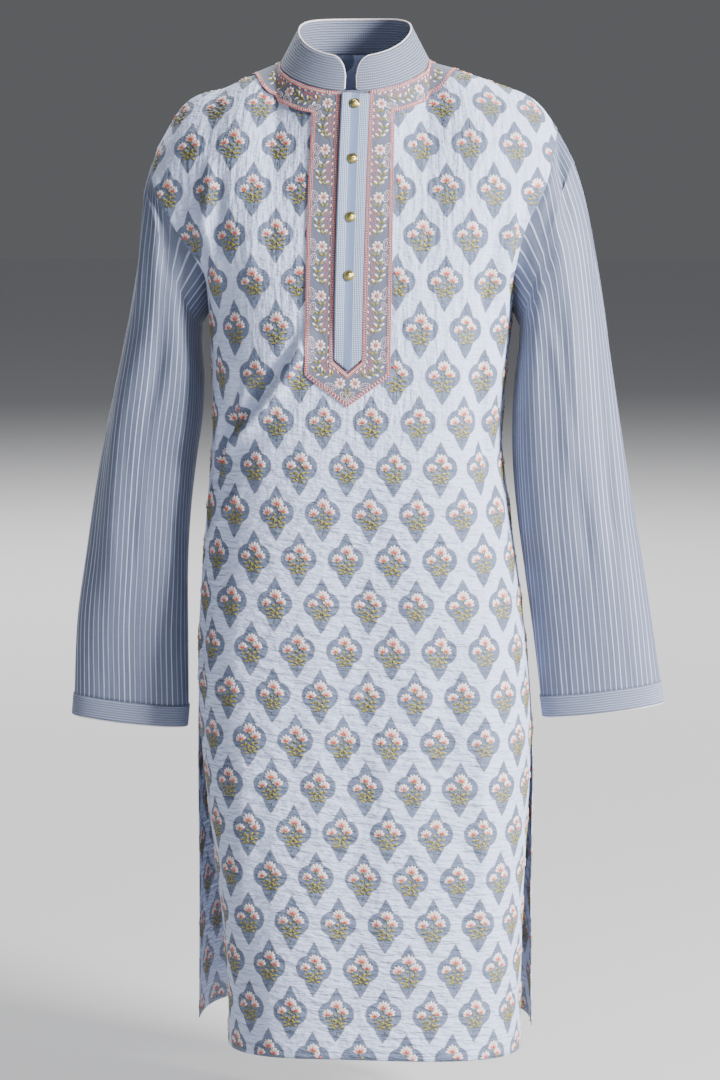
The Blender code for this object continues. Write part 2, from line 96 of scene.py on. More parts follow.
# Opening a grid flat, and finding a flat place on it
EASING_ROUNDS = 1400
EASING_PULL = 0.125       # share of a link's error that each end takes up in one round
EASING_HASTE = 1.6        # how far a round overshoots its moves, to settle sooner
SEARCH_STEP = 3           # every third grid point is tried as a start
SEARCH_BATCH = 2000
SEARCH_ROUNDS = 9
SEARCH_REACH = (3, 4)     # most columns and rows that one round moves
EDGE_MARGIN = 0.3         # cells inside a panel's edge that stay clear of stitches

UNDERARM_Z = -0.245
SLIT_TOP_Z = -0.590
SLIT_INSET_LEFT = 0.012
SLIT_INSET_RIGHT = 0.038
SLIT_FORWARD = 0.016
HEM_FRONT_Z = -1.025
HEM_CORNER_DROP = 0.020
HEM_BACK_Z = -1.030
BODY_ROUNDNESS = 2 / 2.7

NECK_X = -0.005
NECK_Y = -0.004
NECK_HALF_WIDTH = 0.078
NECK_HALF_DEPTH = 0.064
NECK_MEAN_Z = 0.0095
NECK_FALL = 0.023         # from the mean to the centre front
NECK_SIDE_RISE = 0.0045   # sides above the mean
NECK_SHARE = 0.36
YOKE_ROUNDNESS = 2.2
YOKE_SLOPE = 2.2

COLLAR_ROOM = 0.0014
COLLAR_HEIGHT = 0.033
COLLAR_LEAN_SIDE = 0.018
COLLAR_LEAN_FRONT = 0.011
COLLAR_GAP = 0.0064
COLLAR_CORNER = 0.015
COLLAR_END = 0.42

PLACKET_HALF_WIDTH = 0.0143
PLACKET_TOP = 0.0035      # below the neck seam
PLACKET_END_Z = -0.2915
PLACKET_POINT = 0.0115
PLACKET_LEAN = 0.0055

RING_INNER = 0.0026
RING_OUTER = 0.0300
PANEL_INNER = 0.0147
PANEL_OUTER = 0.0440
PANEL_CORNERS = ((7.0, 22.5), (14.5, 27.0))   # degrees: inner and outer edge, right then left
PANEL_INNER_END_Z = -0.2935
PANEL_INNER_POINT = 0.0125
PANEL_OUTER_END_Z = -0.308
PANEL_OUTER_POINT = 0.032
PANEL_END_SHARE = 0.985   # share of the half neckline where the front panel stops at the shoulder
BACK_END_SHARE = 0.990    # the same for the back one
RIBBON_CELLS = (("tip", 3), ("leg", 13), ("ring", 12))
RIBBON_FINENESS = 6       # grid columns to one of those cells

CUFF_HEIGHT = 0.0205
PIPING_RADIUS = 0.0010

PRINT_PITCH = 0.0495      # crosswise step of the printed lattice
PRINT_DROP = 0.0957       # lengthwise repeat; every second row is shifted by half a step
PRINT_START = -0.9299     # height of one shifted row on the front
STRIPE_PITCH = 0.0058
COLLAR_ROW_PITCH = 0.0026
WEAVE_PITCH = 0.0007
DAISY_STEP = 0.051

# A printed frame: round side lobes, then a point above and one below
LOBE_RADIUS = 0.0134
LOBE_OUT = 0.0056         # lobe's middle out from the frame's
# columns: start, length, half_width, taper
FRAME_TOP = (0.0125, 0.0160, 0.0082, 1.20)
FRAME_FOOT = (0.0125, 0.0180, 0.0098, 1.35)

# Plain ground under the placket: the ends of its soft side edge and of its soft foot
OPENING_SIDE = (0.0225, 0.0215)
OPENING_FOOT = (-0.312, -0.308)

# Body sections: height, half widths to the left and right, depths, and where the centre front lies
# columns: z, left, right, front, back, centre
BODY = (
    (-0.245, 0.162, 0.160, 0.111, 0.112, -0.005),
    (-0.310, 0.157, 0.157, 0.113, 0.107, -0.005),
    (-0.372, 0.152, 0.157, 0.111, 0.099, -0.006),
    (-0.458, 0.161, 0.164, 0.108, 0.099, -0.007),
    (-0.544, 0.173, 0.171, 0.110, 0.110, -0.008),
    (-0.672, 0.186, 0.177, 0.115, 0.118, -0.010),
    (-0.886, 0.188, 0.178, 0.121, 0.117, -0.014),
    (-1.060, 0.190, 0.180, 0.125, 0.116, -0.017),
)

# Shoulder seam from the neck to the tip
# columns: along, left_x, left_z, right_x, right_z
SHOULDER = (
    (0.00, 0.0730, 0.0140, -0.0830, 0.0140),
    (0.50, 0.1420, -0.0075, -0.1400, -0.0105),
    (0.85, 0.1900, -0.0310, -0.1920, -0.0350),
    (1.00, 0.2080, -0.0550, -0.2155, -0.0730),
)

# Armhole from the underarm up to the shoulder tip
# columns: up, left_x, left_z, right_x, right_z, front_y, back_y
ARMHOLE = (
    (0.0, 0.1620, -0.2450, -0.1600, -0.2450, 0.000, 0.000),
    (0.2, 0.1650, -0.2040, -0.1630, -0.2020, -0.050, 0.056),
    (0.4, 0.1760, -0.1580, -0.1860, -0.1640, -0.062, 0.070),
    (0.6, 0.1945, -0.1200, -0.2070, -0.1300, -0.056, 0.062),
    (0.8, 0.2030, -0.0850, -0.2165, -0.1000, -0.038, 0.042),
    (1.0, 0.2080, -0.0550, -0.2155, -0.0730, 0.000, 0.000),
)

# Sleeve rings from the armhole down: outer and inner point, half depth, middle in y
# columns: ring, outer_x, outer_z, inner_x, inner_z, depth, y
SLEEVE_LEFT = (
    (1, 0.2240, -0.0880, 0.1700, -0.2620, 0.070, 0.004),
    (2, 0.2370, -0.1350, 0.1690, -0.2850, 0.071, 0.003),
    (3, 0.2500, -0.2000, 0.1650, -0.3200, 0.067, 0.000),
    (4, 0.2630, -0.2800, 0.1630, -0.3600, 0.060, -0.003),
    (5, 0.2750, -0.3550, 0.1640, -0.4100, 0.052, -0.006),
    (6, 0.2885, -0.4300, 0.1695, -0.4650, 0.045, -0.008),
    (7, 0.3020, -0.5050, 0.1780, -0.5250, 0.038, -0.010),
    (8, 0.3145, -0.5800, 0.1880, -0.5950, 0.031, -0.012),
    (9, 0.3240, -0.6410, 0.1960, -0.6580, 0.025, -0.013),
)
SLEEVE_RIGHT = (
    (1, -0.2255, -0.1080, -0.1710, -0.2620, 0.070, 0.004),
    (2, -0.2300, -0.1550, -0.1710, -0.2850, 0.071, 0.003),
    (3, -0.2390, -0.2150, -0.1680, -0.3200, 0.067, 0.000),
    (4, -0.2520, -0.2800, -0.1700, -0.3600, 0.060, -0.003),
    (5, -0.2690, -0.3550, -0.1770, -0.4100, 0.052, -0.006),
    (6, -0.2840, -0.4300, -0.1830, -0.4650, 0.045, -0.008),
    (7, -0.2960, -0.5050, -0.1860, -0.5250, 0.038, -0.010),
    (8, -0.3070, -0.5800, -0.1860, -0.5950, 0.031, -0.012),
    (9, -0.3115, -0.6620, -0.1860, -0.6740, 0.025, -0.013),
)

# Largest folds of a body panel: both ends as (share of the half width, height), reach and rise
# columns: from_s, from_z, to_s, to_z, reach, rise
FRONT_FOLDS = (
    (-0.20, -0.270, -0.62, -0.385, 0.016, 0.0050),
    (-0.32, -0.300, -0.80, -0.440, 0.018, -0.0045),
    (-0.78, -0.130, -0.70, -0.235, 0.015, 0.0045),
    (0.80, -0.150, 0.74, -0.330, 0.016, 0.0040),
    (0.62, -0.270, 0.72, -0.450, 0.018, -0.0040),
    (-0.55, -0.520, -0.62, -1.000, 0.030, 0.0040),
    (0.60, -0.560, 0.66, -1.000, 0.030, 0.0045),
    (0.05, -0.450, 0.10, -0.980, 0.040, -0.0030),
)
BACK_FOLDS = (
    (-0.55, -0.180, -0.35, -0.400, 0.022, 0.0045),
    (0.50, -0.200, 0.38, -0.420, 0.022, 0.0050),
    (-0.42, -0.520, -0.50, -1.000, 0.032, 0.0045),
    (0.12, -0.480, 0.10, -1.000, 0.036, -0.0040),
    (0.58, -0.540, 0.62, -1.000, 0.030, 0.0040),
)
# Long folds of a sleeve: turn about the arm (0 outer, 0.25 front), first and last ring, reach, rise
SLEEVE_FOLDS = (
    (0.10, 1.0, 5.5, 0.045, 0.0035),
    (0.26, 0.6, 4.5, 0.050, -0.0045),
    (0.36, 2.0, 7.0, 0.045, 0.0040),
    (0.62, 1.5, 6.0, 0.050, -0.0040),
    (0.80, 1.0, 6.5, 0.050, 0.0040),
)

# Smaller creases in the flat cut: both ends, sideways bow of the middle, reach and rise
# columns: from_a, from_b, to_a, to_b, bow, reach, rise
FRONT_CREASES = (
    (-0.035, -0.254, -0.150, -0.398, 0.014, 0.0078, 0.0062),
    (-0.045, -0.246, -0.160, -0.390, 0.014, 0.0078, -0.0085),
    (-0.104, -0.304, -0.166, -0.446, 0.006, 0.0062, 0.0046),
    (-0.114, -0.300, -0.175, -0.438, 0.006, 0.0062, -0.0060),
    (-0.142, -0.330, -0.188, -0.470, 0.004, 0.0055, 0.0036),
    (-0.112, -0.420, -0.190, -0.502, 0.006, 0.0070, 0.0030),
    (-0.176, -0.262, -0.120, -0.330, 0.006, 0.0070, 0.0026),
    (-0.184, -0.285, -0.132, -0.372, 0.006, 0.0060, -0.0026),
    (-0.150, -0.070, -0.162, -0.180, 0.008, 0.0065, 0.0032),
    (-0.138, -0.085, -0.146, -0.205, 0.006, 0.0070, -0.0026),
    (-0.172, -0.120, -0.176, -0.225, 0.004, 0.0050, 0.0026),
    (0.168, -0.100, 0.160, -0.240, 0.006, 0.0065, 0.0032),
    (0.152, -0.150, 0.150, -0.290, -0.005, 0.0065, -0.0030),
    (0.136, -0.235, 0.160, -0.360, 0.008, 0.0060, 0.0030),
    (0.122, -0.290, 0.170, -0.430, 0.008, 0.0070, -0.0026),
    (0.150, -0.330, 0.188, -0.470, 0.004, 0.0055, 0.0028),
    (0.102, -0.205, 0.178, -0.262, -0.006, 0.0060, 0.0018),
    (-0.085, -0.115, -0.100, -0.230, -0.006, 0.0100, 0.0016),
    (0.070, -0.120, 0.082, -0.240, 0.005, 0.0100, -0.0014),
    (-0.148, -0.500, -0.160, -0.700, 0.006, 0.0090, 0.0026),
    (-0.170, -0.520, -0.178, -0.760, -0.004, 0.0080, -0.0024),
    (-0.110, -0.640, -0.118, -0.960, 0.008, 0.0140, 0.0022),
    (-0.045, -0.560, -0.040, -0.880, -0.006, 0.0160, -0.0018),
    (0.035, -0.620, 0.048, -1.000, 0.006, 0.0140, 0.0018),
    (0.105, -0.540, 0.100, -0.820, 0.006, 0.0120, -0.0022),
    (0.150, -0.600, 0.160, -0.940, -0.006, 0.0100, 0.0026),
    (0.176, -0.480, 0.186, -0.700, 0.004, 0.0070, 0.0024),
    (-0.160, -0.800, -0.168, -1.010, 0.006, 0.0080, -0.0026),
    (0.060, -0.800, 0.160, -0.860, 0.010, 0.0110, 0.0012),
    (-0.130, -0.720, -0.030, -0.770, 0.010, 0.0110, 0.0012),
    (-0.060, -0.450, 0.060, -0.462, 0.006, 0.0100, 0.0012),
)
BACK_CREASES = (
    (-0.120, -0.060, -0.030, -0.190, 0.012, 0.0100, 0.0030),
    (0.118, -0.065, 0.040, -0.200, -0.012, 0.0110, 0.0028),
    (-0.160, -0.110, -0.120, -0.240, 0.008, 0.0075, -0.0030),
    (0.164, -0.105, 0.126, -0.260, -0.008, 0.0080, -0.0028),
    (-0.180, -0.260, -0.100, -0.350, 0.008, 0.0070, 0.0030),
    (0.182, -0.262, 0.090, -0.372, -0.008, 0.0070, 0.0032),
    (-0.176, -0.300, -0.110, -0.410, 0.006, 0.0070, -0.0026),
    (0.170, -0.310, 0.108, -0.430, 0.004, 0.0075, -0.0028),
    (-0.060, -0.360, 0.070, -0.372, 0.010, 0.0090, 0.0018),
    (-0.080, -0.410, 0.050, -0.402, -0.010, 0.0080, -0.0018),
    (-0.140, -0.520, -0.150, -0.900, 0.008, 0.0120, 0.0028),
    (-0.060, -0.560, -0.072, -0.980, -0.010, 0.0150, -0.0024),
    (0.020, -0.600, 0.034, -1.000, 0.008, 0.0130, 0.0024),
    (0.100, -0.540, 0.110, -0.880, 0.008, 0.0120, -0.0026),
    (0.160, -0.580, 0.170, -0.960, -0.006, 0.0090, 0.0028),
)
# The same for sleeves, a towards the front
LEFT_SLEEVE_CREASES = (
    (0.030, 0.020, 0.060, -0.140, -0.012, 0.0065, -0.0048),
    (0.018, 0.030, 0.036, -0.190, -0.008, 0.0060, 0.0042),
    (0.050, 0.010, 0.090, -0.110, -0.010, 0.0070, 0.0044),
    (0.080, -0.020, 0.112, -0.160, -0.006, 0.0070, -0.0040),
    (0.002, 0.020, 0.006, -0.240, 0.006, 0.0050, -0.0030),
    (-0.016, 0.020, -0.014, -0.300, -0.004, 0.0060, 0.0030),
    (0.070, -0.150, 0.070, -0.430, -0.008, 0.0080, 0.0036),
    (0.052, -0.200, 0.050, -0.480, 0.006, 0.0070, -0.0034),
    (0.030, -0.160, 0.022, -0.420, 0.006, 0.0080, 0.0028),
    (0.090, -0.230, 0.078, -0.500, 0.006, 0.0070, -0.0034),
    (-0.040, -0.040, -0.030, -0.360, 0.006, 0.0080, -0.0026),
    (0.104, -0.190, 0.086, -0.380, 0.006, 0.0070, 0.0036),
    (-0.080, -0.060, -0.060, -0.300, -0.008, 0.0090, 0.0036),
    (-0.110, -0.090, -0.080, -0.340, 0.008, 0.0090, -0.0034),
)
RIGHT_SLEEVE_CREASES = (
    (0.052, 0.000, 0.086, -0.150, -0.010, 0.0075, -0.0038),
    (0.034, 0.010, 0.052, -0.200, -0.008, 0.0080, 0.0036),
    (0.074, -0.020, 0.112, -0.150, -0.008, 0.0080, 0.0040),
    (0.014, 0.010, 0.016, -0.300, 0.006, 0.0070, -0.0024),
    (0.080, -0.160, 0.076, -0.440, -0.008, 0.0090, -0.0036),
    (0.060, -0.180, 0.056, -0.500, 0.008, 0.0100, 0.0032),
    (0.098, -0.200, 0.084, -0.460, 0.006, 0.0080, 0.0036),
    (0.034, -0.240, 0.030, -0.500, 0.006, 0.0090, -0.0022),
    (-0.030, -0.040, -0.020, -0.360, 0.006, 0.0090, 0.0028),
    (-0.080, -0.050, -0.060, -0.300, -0.008, 0.0090, -0.0036),
    (-0.110, -0.090, -0.080, -0.340, 0.008, 0.0090, 0.0034),
)


# ---------------------------------------------------------------- colours
WHITE_CLOTH = (0.57, 0.65, 0.90)
WHITE_SHADE = (0.41, 0.48, 0.71)
PRINT_GREY = (0.146, 0.188, 0.300)
PRINT_DEEP = (0.094, 0.120, 0.198)
PRINT_RIM = (0.56, 0.46, 0.50)
CHAMBRAY = (0.124, 0.150, 0.232)
CHAMBRAY_CUFF = (0.180, 0.226, 0.350)
CHAMBRAY_DEEP = (0.080, 0.098, 0.158)
CHAMBRAY_LIGHT = (0.150, 0.215, 0.390)
# painted shade for sunk rows of stitching
SEAM_SHADE = (0.045, 0.056, 0.094)
# white of the sleeve stripes; also the painted highlight on the collar and cuff ridges
STRIPE_WHITE = (0.42, 0.47, 0.66)
PANEL_GREY = (0.122, 0.134, 0.196)
THREAD_WHITE = (0.88, 0.86, 0.87)
THREAD_CORAL = (0.62, 0.085, 0.062)
THREAD_PINK = (0.70, 0.215, 0.190)
THREAD_ROSE = (0.56, 0.120, 0.098)
THREAD_GOLD = (0.430, 0.370, 0.062)
THREAD_OLIVE = (0.100, 0.092, 0.024)
THREAD_DARK = (0.022, 0.020, 0.012)
THREAD_BLUSH = (0.66, 0.47, 0.50)
STITCH_WHITE = (0.62, 0.70, 0.84)
PIPING_WHITE = (0.82, 0.76, 0.78)
# painted shade between the twisted strands of the piping
PIPING_SHADE = (0.46, 0.36, 0.40)
BRASS = (0.52, 0.44, 0.16)
BRASS_DARK = (0.13, 0.11, 0.035)


# ---------------------------------------------------------------- curves through the tables
def smooth(table, column, at):
    """Values of a table's column at the given values of its first column, on one smooth curve."""
    keys = np.array([row[0] for row in table], float)
    values = np.array([row[column] for row in table], float)
    if keys[0] > keys[-1]:
        keys, values = keys[::-1], values[::-1]
    slopes = np.gradient(values, keys)
    at = np.clip(at, keys[0], keys[-1])
    i = np.clip(np.searchsorted(keys, at, side="right") - 1, 0, len(keys) - 2)
    span = keys[i + 1] - keys[i]
    k = (at - keys[i]) / span
    bend_in = (1 + 2 * k) * (1 - k) ** 2 * values[i] + k * (1 - k) ** 2 * span * slopes[i]
    bend_out = k * k * (3 - 2 * k) * values[i + 1] - k * k * (1 - k) * span * slopes[i + 1]
    return bend_in + bend_out


def ease(low, high, value):
    """0 at low, 1 at high and smooth between."""
    k = np.clip((value - low) / (high - low), 0.0, 1.0)
    return k * k * (3 - 2 * k)


def unit(vectors):
    """Vectors of length 1 in the same directions."""
    return vectors / np.maximum(np.linalg.norm(vectors, axis=-1, keepdims=True), 1e-12)


def stack(x, y, z):
    """Points from their three coordinates."""
    return np.stack(np.broadcast_arrays(x, y, z), axis=-1).astype(float)


def lengths_along(line):
    """Length along a line of points at each of them, from 0."""
    return np.concatenate(((0,), np.cumsum(np.linalg.norm(np.diff(line, axis=0), axis=1))))


def neck_point(turn):
    """Neckline at angles from the centre front (0) round the left to the centre back (pi)."""
    x = NECK_X + NECK_HALF_WIDTH * np.sin(turn)
    y = NECK_Y - NECK_HALF_DEPTH * np.cos(turn)
    z = NECK_MEAN_Z - NECK_FALL * np.cos(turn) - NECK_SIDE_RISE * np.cos(2 * turn)
    return stack(x, y, z)


# ---------------------------------------------------------------- body panels
def body_section(z, share, back):
    """Points of the body's section at heights z, shares -1..1 of the way from the middle."""
    side = np.where(share >= 0, 1.0, -1.0)
    depth, centre = smooth(BODY, 4 if back else 3, z), smooth(BODY, 5, z)
    slit = ease(0.0, SLIT_TOP_Z - HEM_BACK_Z, SLIT_TOP_Z - z)
    edge = np.where(side > 0, smooth(BODY, 1, z), smooth(BODY, 2, z))
    if not back:
        edge = edge - slit * np.where(side > 0, SLIT_INSET_LEFT, SLIT_INSET_RIGHT)
    reach = edge - side * centre
    turns = np.linspace(0, math.pi / 2, 60)
    across = reach[:, None] * np.sin(turns) ** BODY_ROUNDNESS
    forward = depth[:, None] * np.abs(np.cos(turns)) ** BODY_ROUNDNESS
    steps = np.hypot(np.diff(across), np.diff(forward))
    length = np.concatenate((np.zeros((len(z), 1)), np.cumsum(steps, axis=1)), axis=1)
    at = np.abs(share) * length[:, -1]
    i = np.clip((length < at[:, None]).sum(axis=1), 1, len(turns) - 1)
    row = np.arange(len(z))
    k = (at - length[row, i - 1]) / (length[row, i] - length[row, i - 1])
    x = centre + side * (across[row, i - 1] * (1 - k) + across[row, i] * k)
    y = forward[row, i - 1] * (1 - k) + forward[row, i] * k
    if not back:
        y = -(y + slit * SLIT_FORWARD)
    return stack(x, y, z)


def panel_top(share):
    """Top edge of a panel: half the neckline, then the shoulder seam out to the tip."""
    side = np.where(share >= 0, 1.0, -1.0)
    along = np.clip((np.abs(share) - NECK_SHARE) / (1 - NECK_SHARE), 0, 1)
    x = np.where(side > 0, smooth(SHOULDER, 1, along), smooth(SHOULDER, 3, along))
    z = np.where(side > 0, smooth(SHOULDER, 2, along), smooth(SHOULDER, 4, along))
    return stack(x, NECK_Y * (1 - along), z)


def neck_top(share, back):
    """Points of a panel's half of the neckline."""
    side = np.where(share >= 0, 1.0, -1.0)
    turn = math.pi / 2 * np.clip(np.abs(share) / NECK_SHARE, 0, 1)
    return neck_point(side * (math.pi - turn if back else turn))


def armhole_point(up, side, back):
    """Points of the armhole seam, up 0 at the underarm and 1 at the shoulder tip."""
    x = np.where(side > 0, smooth(ARMHOLE, 1, up), smooth(ARMHOLE, 3, up))
    z = np.where(side > 0, smooth(ARMHOLE, 2, up), smooth(ARMHOLE, 4, up))
    y = np.where(back, smooth(ARMHOLE, 6, up), smooth(ARMHOLE, 5, up))
    return stack(x, y, z)


def fold_lift(folds, share, z):
    """Rise of the cloth's folds: each is a soft ridge or trough along its own line."""
    lift = np.zeros(share.shape)
    for from_s, from_z, to_s, to_z, reach, rise in folds:
        line_x, line_z = (to_s - from_s) * FOLD_SCALE, to_z - from_z
        x, up = (share - from_s) * FOLD_SCALE, z - from_z
        along = (x * line_x + up * line_z) / (line_x ** 2 + line_z ** 2)
        away = (x * line_z - up * line_x) / math.hypot(line_x, line_z)
        ends = ease(-0.12, 0.2, along) * ease(-0.12, 0.2, 1 - along)
        lift += rise * ends * np.exp(-(away / reach) ** 2)
    return lift


def panel_points(share, rise, back):
    """Points of a panel: rise 0..1 is the skirt from hem to underarm, 1..2 the yoke above."""
    hem = HEM_BACK_Z if back else HEM_FRONT_Z - HEM_CORNER_DROP * share ** 2
    skirt = body_section(hem + (UNDERARM_Z - hem) * np.minimum(rise, 1), share, back)

    turn = np.clip(rise - 1, 0, 1) * math.pi / 2
    lifted = np.sin(turn) ** (2 / YOKE_ROUNDNESS)
    over_shoulder = 1 - np.maximum(np.cos(turn), 0) ** (2 / YOKE_ROUNDNESS)
    at_neck = lifted ** YOKE_SLOPE
    rolled = at_neck + (over_shoulder - at_neck) * ease(0.18, 0.65, np.abs(share))
    blend = np.stack((lifted, rolled, lifted), axis=-1)
    side = np.where(share >= 0, 1.0, -1.0)
    underarm = np.full(share.shape, UNDERARM_Z)
    base, corner = body_section(underarm, share, back), body_section(underarm, side, back)
    on_neck = (np.abs(share) <= NECK_SHARE)[:, None]
    top = np.where(on_neck, neck_top(share, back), panel_top(share))
    chord = corner + (panel_top(side) - corner) * blend
    pull = (np.abs(share) ** 3)[:, None]
    yoke = base + (top - base) * blend + pull * (armhole_point(lifted, side, back) - chord)

    points = np.where((rise <= 1)[:, None], skirt, yoke)
    outward = unit(stack(points[:, 0] / 0.03, points[:, 1] / 0.0125, 0))
    calm = ease(0.0, 0.15, 1 - np.abs(share)) * ease(0.0, 0.25, 2 - rise)
    lift = fold_lift(BACK_FOLDS if back else FRONT_FOLDS, share, points[:, 2]) * calm
    return points + outward * lift[:, None]


# ---------------------------------------------------------------- cloth as grids with a flat cut
def sample(values, column, row):
    """Values of a grid read between its points; beyond its edges the last cells run on."""
    rows, columns = values.shape[:2]
    i = np.clip(np.floor(column), 0, columns - 2).astype(int)
    j = np.clip(np.floor(row), 0, rows - 2).astype(int)
    u, v = (column - i)[..., None], (row - j)[..., None]
    low = values[j, i] * (1 - u) + values[j, i + 1] * u
    high = values[j + 1, i] * (1 - u) + values[j + 1, i + 1] * u
    return low * (1 - v) + high * v


def outward_normals(points):
    """Normals of a grid, away from the wearer."""
    return unit(np.cross(np.gradient(points, axis=1), np.gradient(points, axis=0)))


def run_on(flat, curved):
    """Let the rows past those of the flat cut run straight on, each column keeping its lengths."""
    ahead = unit(flat[-1] - flat[-3])
    past = np.linalg.norm(np.diff(curved[len(flat) - 1:], axis=0), axis=2)
    return np.concatenate((flat, flat[-1] + ahead * np.cumsum(past, axis=0)[..., None]))


def flatten(points, start_b):
    """Flat cut of a curved grid: its points ease about the plane until every link keeps its length,
    with the middle column held straight."""
    rows, columns = points.shape[:2]
    middle = columns // 2
    flat = np.zeros((rows, columns, 2))
    flat[:, 1:, 0] = np.cumsum(np.linalg.norm(np.diff(points, axis=1), axis=2), axis=1)
    flat[..., 0] -= flat[:, middle:middle + 1, 0]
    ups = np.linalg.norm(np.diff(points[:, middle], axis=0), axis=1)
    flat[1:, :, 1] = np.cumsum(ups)[:, None]
    flat[..., 1] += start_b
    spine = flat[:, middle].copy()
    links = []
    for down, over in ((0, 1), (1, 0), (1, 1), (1, -1)):
        first = (slice(0, rows - down), slice(max(0, -over), columns - max(0, over)))
        second = (slice(down, rows), slice(max(0, over), columns + min(0, over)))
        links.append((first, second, np.linalg.norm(points[second] - points[first], axis=2)))
    for _ in range(EASING_ROUNDS):
        push = np.zeros_like(flat)
        for first, second, rest in links:
            gap = flat[second] - flat[first]
            pull = gap * (EASING_PULL * (1 - rest / np.linalg.norm(gap, axis=2)))[..., None]
            push[first] += pull
            push[second] -= pull
        flat += push * EASING_HASTE
        flat[:, middle] = spine
    return flat


def crease(points, flat, creases, calm):
    """Lift a grid along its normals by soft ridges and troughs laid out in its flat cut."""
    lift = np.zeros(points.shape[:2])
    for from_a, from_b, to_a, to_b, bow, reach, rise in creases:
        start, line = np.array((from_a, from_b)), np.array((to_a - from_a, to_b - from_b))
        length = math.hypot(*line)
        along = (flat - start) @ line / length ** 2
        across = (flat - start) @ np.array((-line[1], line[0])) / length
        across -= bow * 4 * along * (1 - along)
        ends = ease(-0.02, 0.3, along) * ease(-0.02, 0.3, 1 - along)
        lift += rise * ends * np.exp(-(across / reach) ** 2)
    return points + outward_normals(points) * (lift * calm)[..., None]


class Cloth:
    """A cloth surface: a grid of points and the same grid in its flat cut. A ribbon's cut has an
    outline of its own."""

    def __init__(self, points, flat, joined=False, outline=None):
        self.points, self.flat, self.joined = points, flat, joined
        self.outline = flat if outline is None else outline
        self.normals = outward_normals(points)

    def find(self, a, b):
        """Grid columns and rows over flat places, by Newton's method from the nearest grid point."""
        rows, columns = self.flat.shape[:2]
        sparse = self.flat[::SEARCH_STEP, ::SEARCH_STEP].reshape(-1, 2)
        wanted = np.stack((a, b), axis=-1)
        nearest = np.concatenate([
            np.linalg.norm(part[:, None] - sparse, axis=2).argmin(axis=1)
            for part in np.array_split(wanted, max(1, len(wanted) // SEARCH_BATCH))])
        wide = len(range(0, columns, SEARCH_STEP))
        column = (nearest % wide) * float(SEARCH_STEP)
        row = (nearest // wide) * float(SEARCH_STEP)
        most_over, most_up = SEARCH_REACH
        for _ in range(SEARCH_ROUNDS):
            miss = wanted - sample(self.flat, column, row)
            over = sample(self.flat, column + 0.5, row) - sample(self.flat, column - 0.5, row)
            up = sample(self.flat, column, row + 0.5) - sample(self.flat, column, row - 0.5)
            size = over[:, 0] * up[:, 1] - over[:, 1] * up[:, 0]
            column_step = (miss[:, 0] * up[:, 1] - miss[:, 1] * up[:, 0]) / size
            row_step = (over[:, 0] * miss[:, 1] - over[:, 1] * miss[:, 0]) / size
            column = np.clip(column + np.clip(column_step, -most_over, most_over), -2, columns + 1)
            row = np.clip(row + np.clip(row_step, -most_up, most_up), -2, rows + 1)
        return column, row

    def inside(self, column, row):
        """True for places clear of the grid's edges."""
        rows, columns = self.flat.shape[:2]
        wide = (column > EDGE_MARGIN) & (column < columns - 1 - EDGE_MARGIN)
        return wide & (row > EDGE_MARGIN) & (row < rows - 1 - EDGE_MARGIN)

    def place(self, column, row):
        """Points and normals of the surface at columns and rows of its grid."""
        return sample(self.points, column, row), unit(sample(self.normals, column, row))

    def tree(self):
        """The surface as a tree that rays can be cast at."""
        corners = self.corners()
        return BVHTree.FromPolygons(self.points.reshape(-1, 3).tolist(), corners.tolist())

    def corners(self):
        """Grid points round each cell."""
        rows, columns = self.points.shape[:2]
        index = np.arange(rows * columns).reshape(rows, columns)
        around = (index[:-1, :-1], index[:-1, 1:], index[1:, 1:], index[1:, :-1])
        return np.stack(around, axis=-1).reshape(-1, 4)

    def mesh(self, name):
        """Mesh of the surface with its flat cut as the UV map "cut"; a joined one closes round."""
        corners = self.corners()
        linked = corners.copy()
        if self.joined:
            columns = self.points.shape[1]
            linked = np.where(linked % columns == columns - 1, linked - columns + 1, linked)
        data = bpy.data.meshes.new(name)
        data.from_pydata(self.points.reshape(-1, 3).tolist(), [], linked.tolist())
        layer = data.uv_layers.new(name="cut")
        layer.uv.foreach_set("vector", self.flat.reshape(-1, 2)[corners.reshape(-1)].ravel())
        if self.joined:
            loose = np.arange(self.points.shape[0]) * columns + columns - 1
            remove_points(data, loose)
        data.shade_smooth()
        return data

    def size(self):
        """Width, length and area of the flat cut."""
        over, up = np.diff(self.outline, axis=1)[:-1], np.diff(self.outline, axis=0)[:, :-1]
        area = np.abs(over[..., 0] * up[..., 1] - over[..., 1] * up[..., 0]).sum()
        return np.ptp(self.outline[..., 0]), np.ptp(self.outline[..., 1]), area


def remove_points(data, loose):
    """Take the numbered points out of a mesh."""
    mesh = bmesh.new()
    mesh.from_mesh(data)
    mesh.verts.ensure_lookup_table()
    bmesh.ops.delete(mesh, geom=[mesh.verts[i] for i in loose], context="VERTS")
    mesh.to_mesh(data)
    mesh.free()


def body_cloth(back):
    """One body panel, fine enough for its creases."""
    shares = np.linspace(-1, 1, BODY_CELLS + 1) * (-1 if back else 1)
    skirt, yoke = np.linspace(0, 1, SKIRT_CELLS + 1), np.linspace(1, 2, YOKE_CELLS + 1)
    share, rise = np.meshgrid(shares, np.concatenate((skirt, yoke[1:])))
    points = panel_points(share.ravel(), rise.ravel(), back).reshape(*share.shape, 3)
    tall, wide = COARSE_CELL
    coarse = points[::tall, ::wide]
    spine = np.linalg.norm(np.diff(coarse[:, coarse.shape[1] // 2], axis=0), axis=1)
    start_b = UNDERARM_Z - spine[:SKIRT_CELLS // tall].sum()
    flat = run_on(flatten(coarse[:-UNEASED_ROWS], start_b), coarse)
    column, row = np.meshgrid(np.arange(points.shape[1]) / wide, np.arange(points.shape[0]) / tall)
    flat = sample(flat, column, row)
    calm = ease(0.0, 0.12, 1 - np.abs(share)) * ease(0.0, 0.3, 2 - rise)
    return Cloth(crease(points, flat, BACK_CREASES if back else FRONT_CREASES, calm), flat)


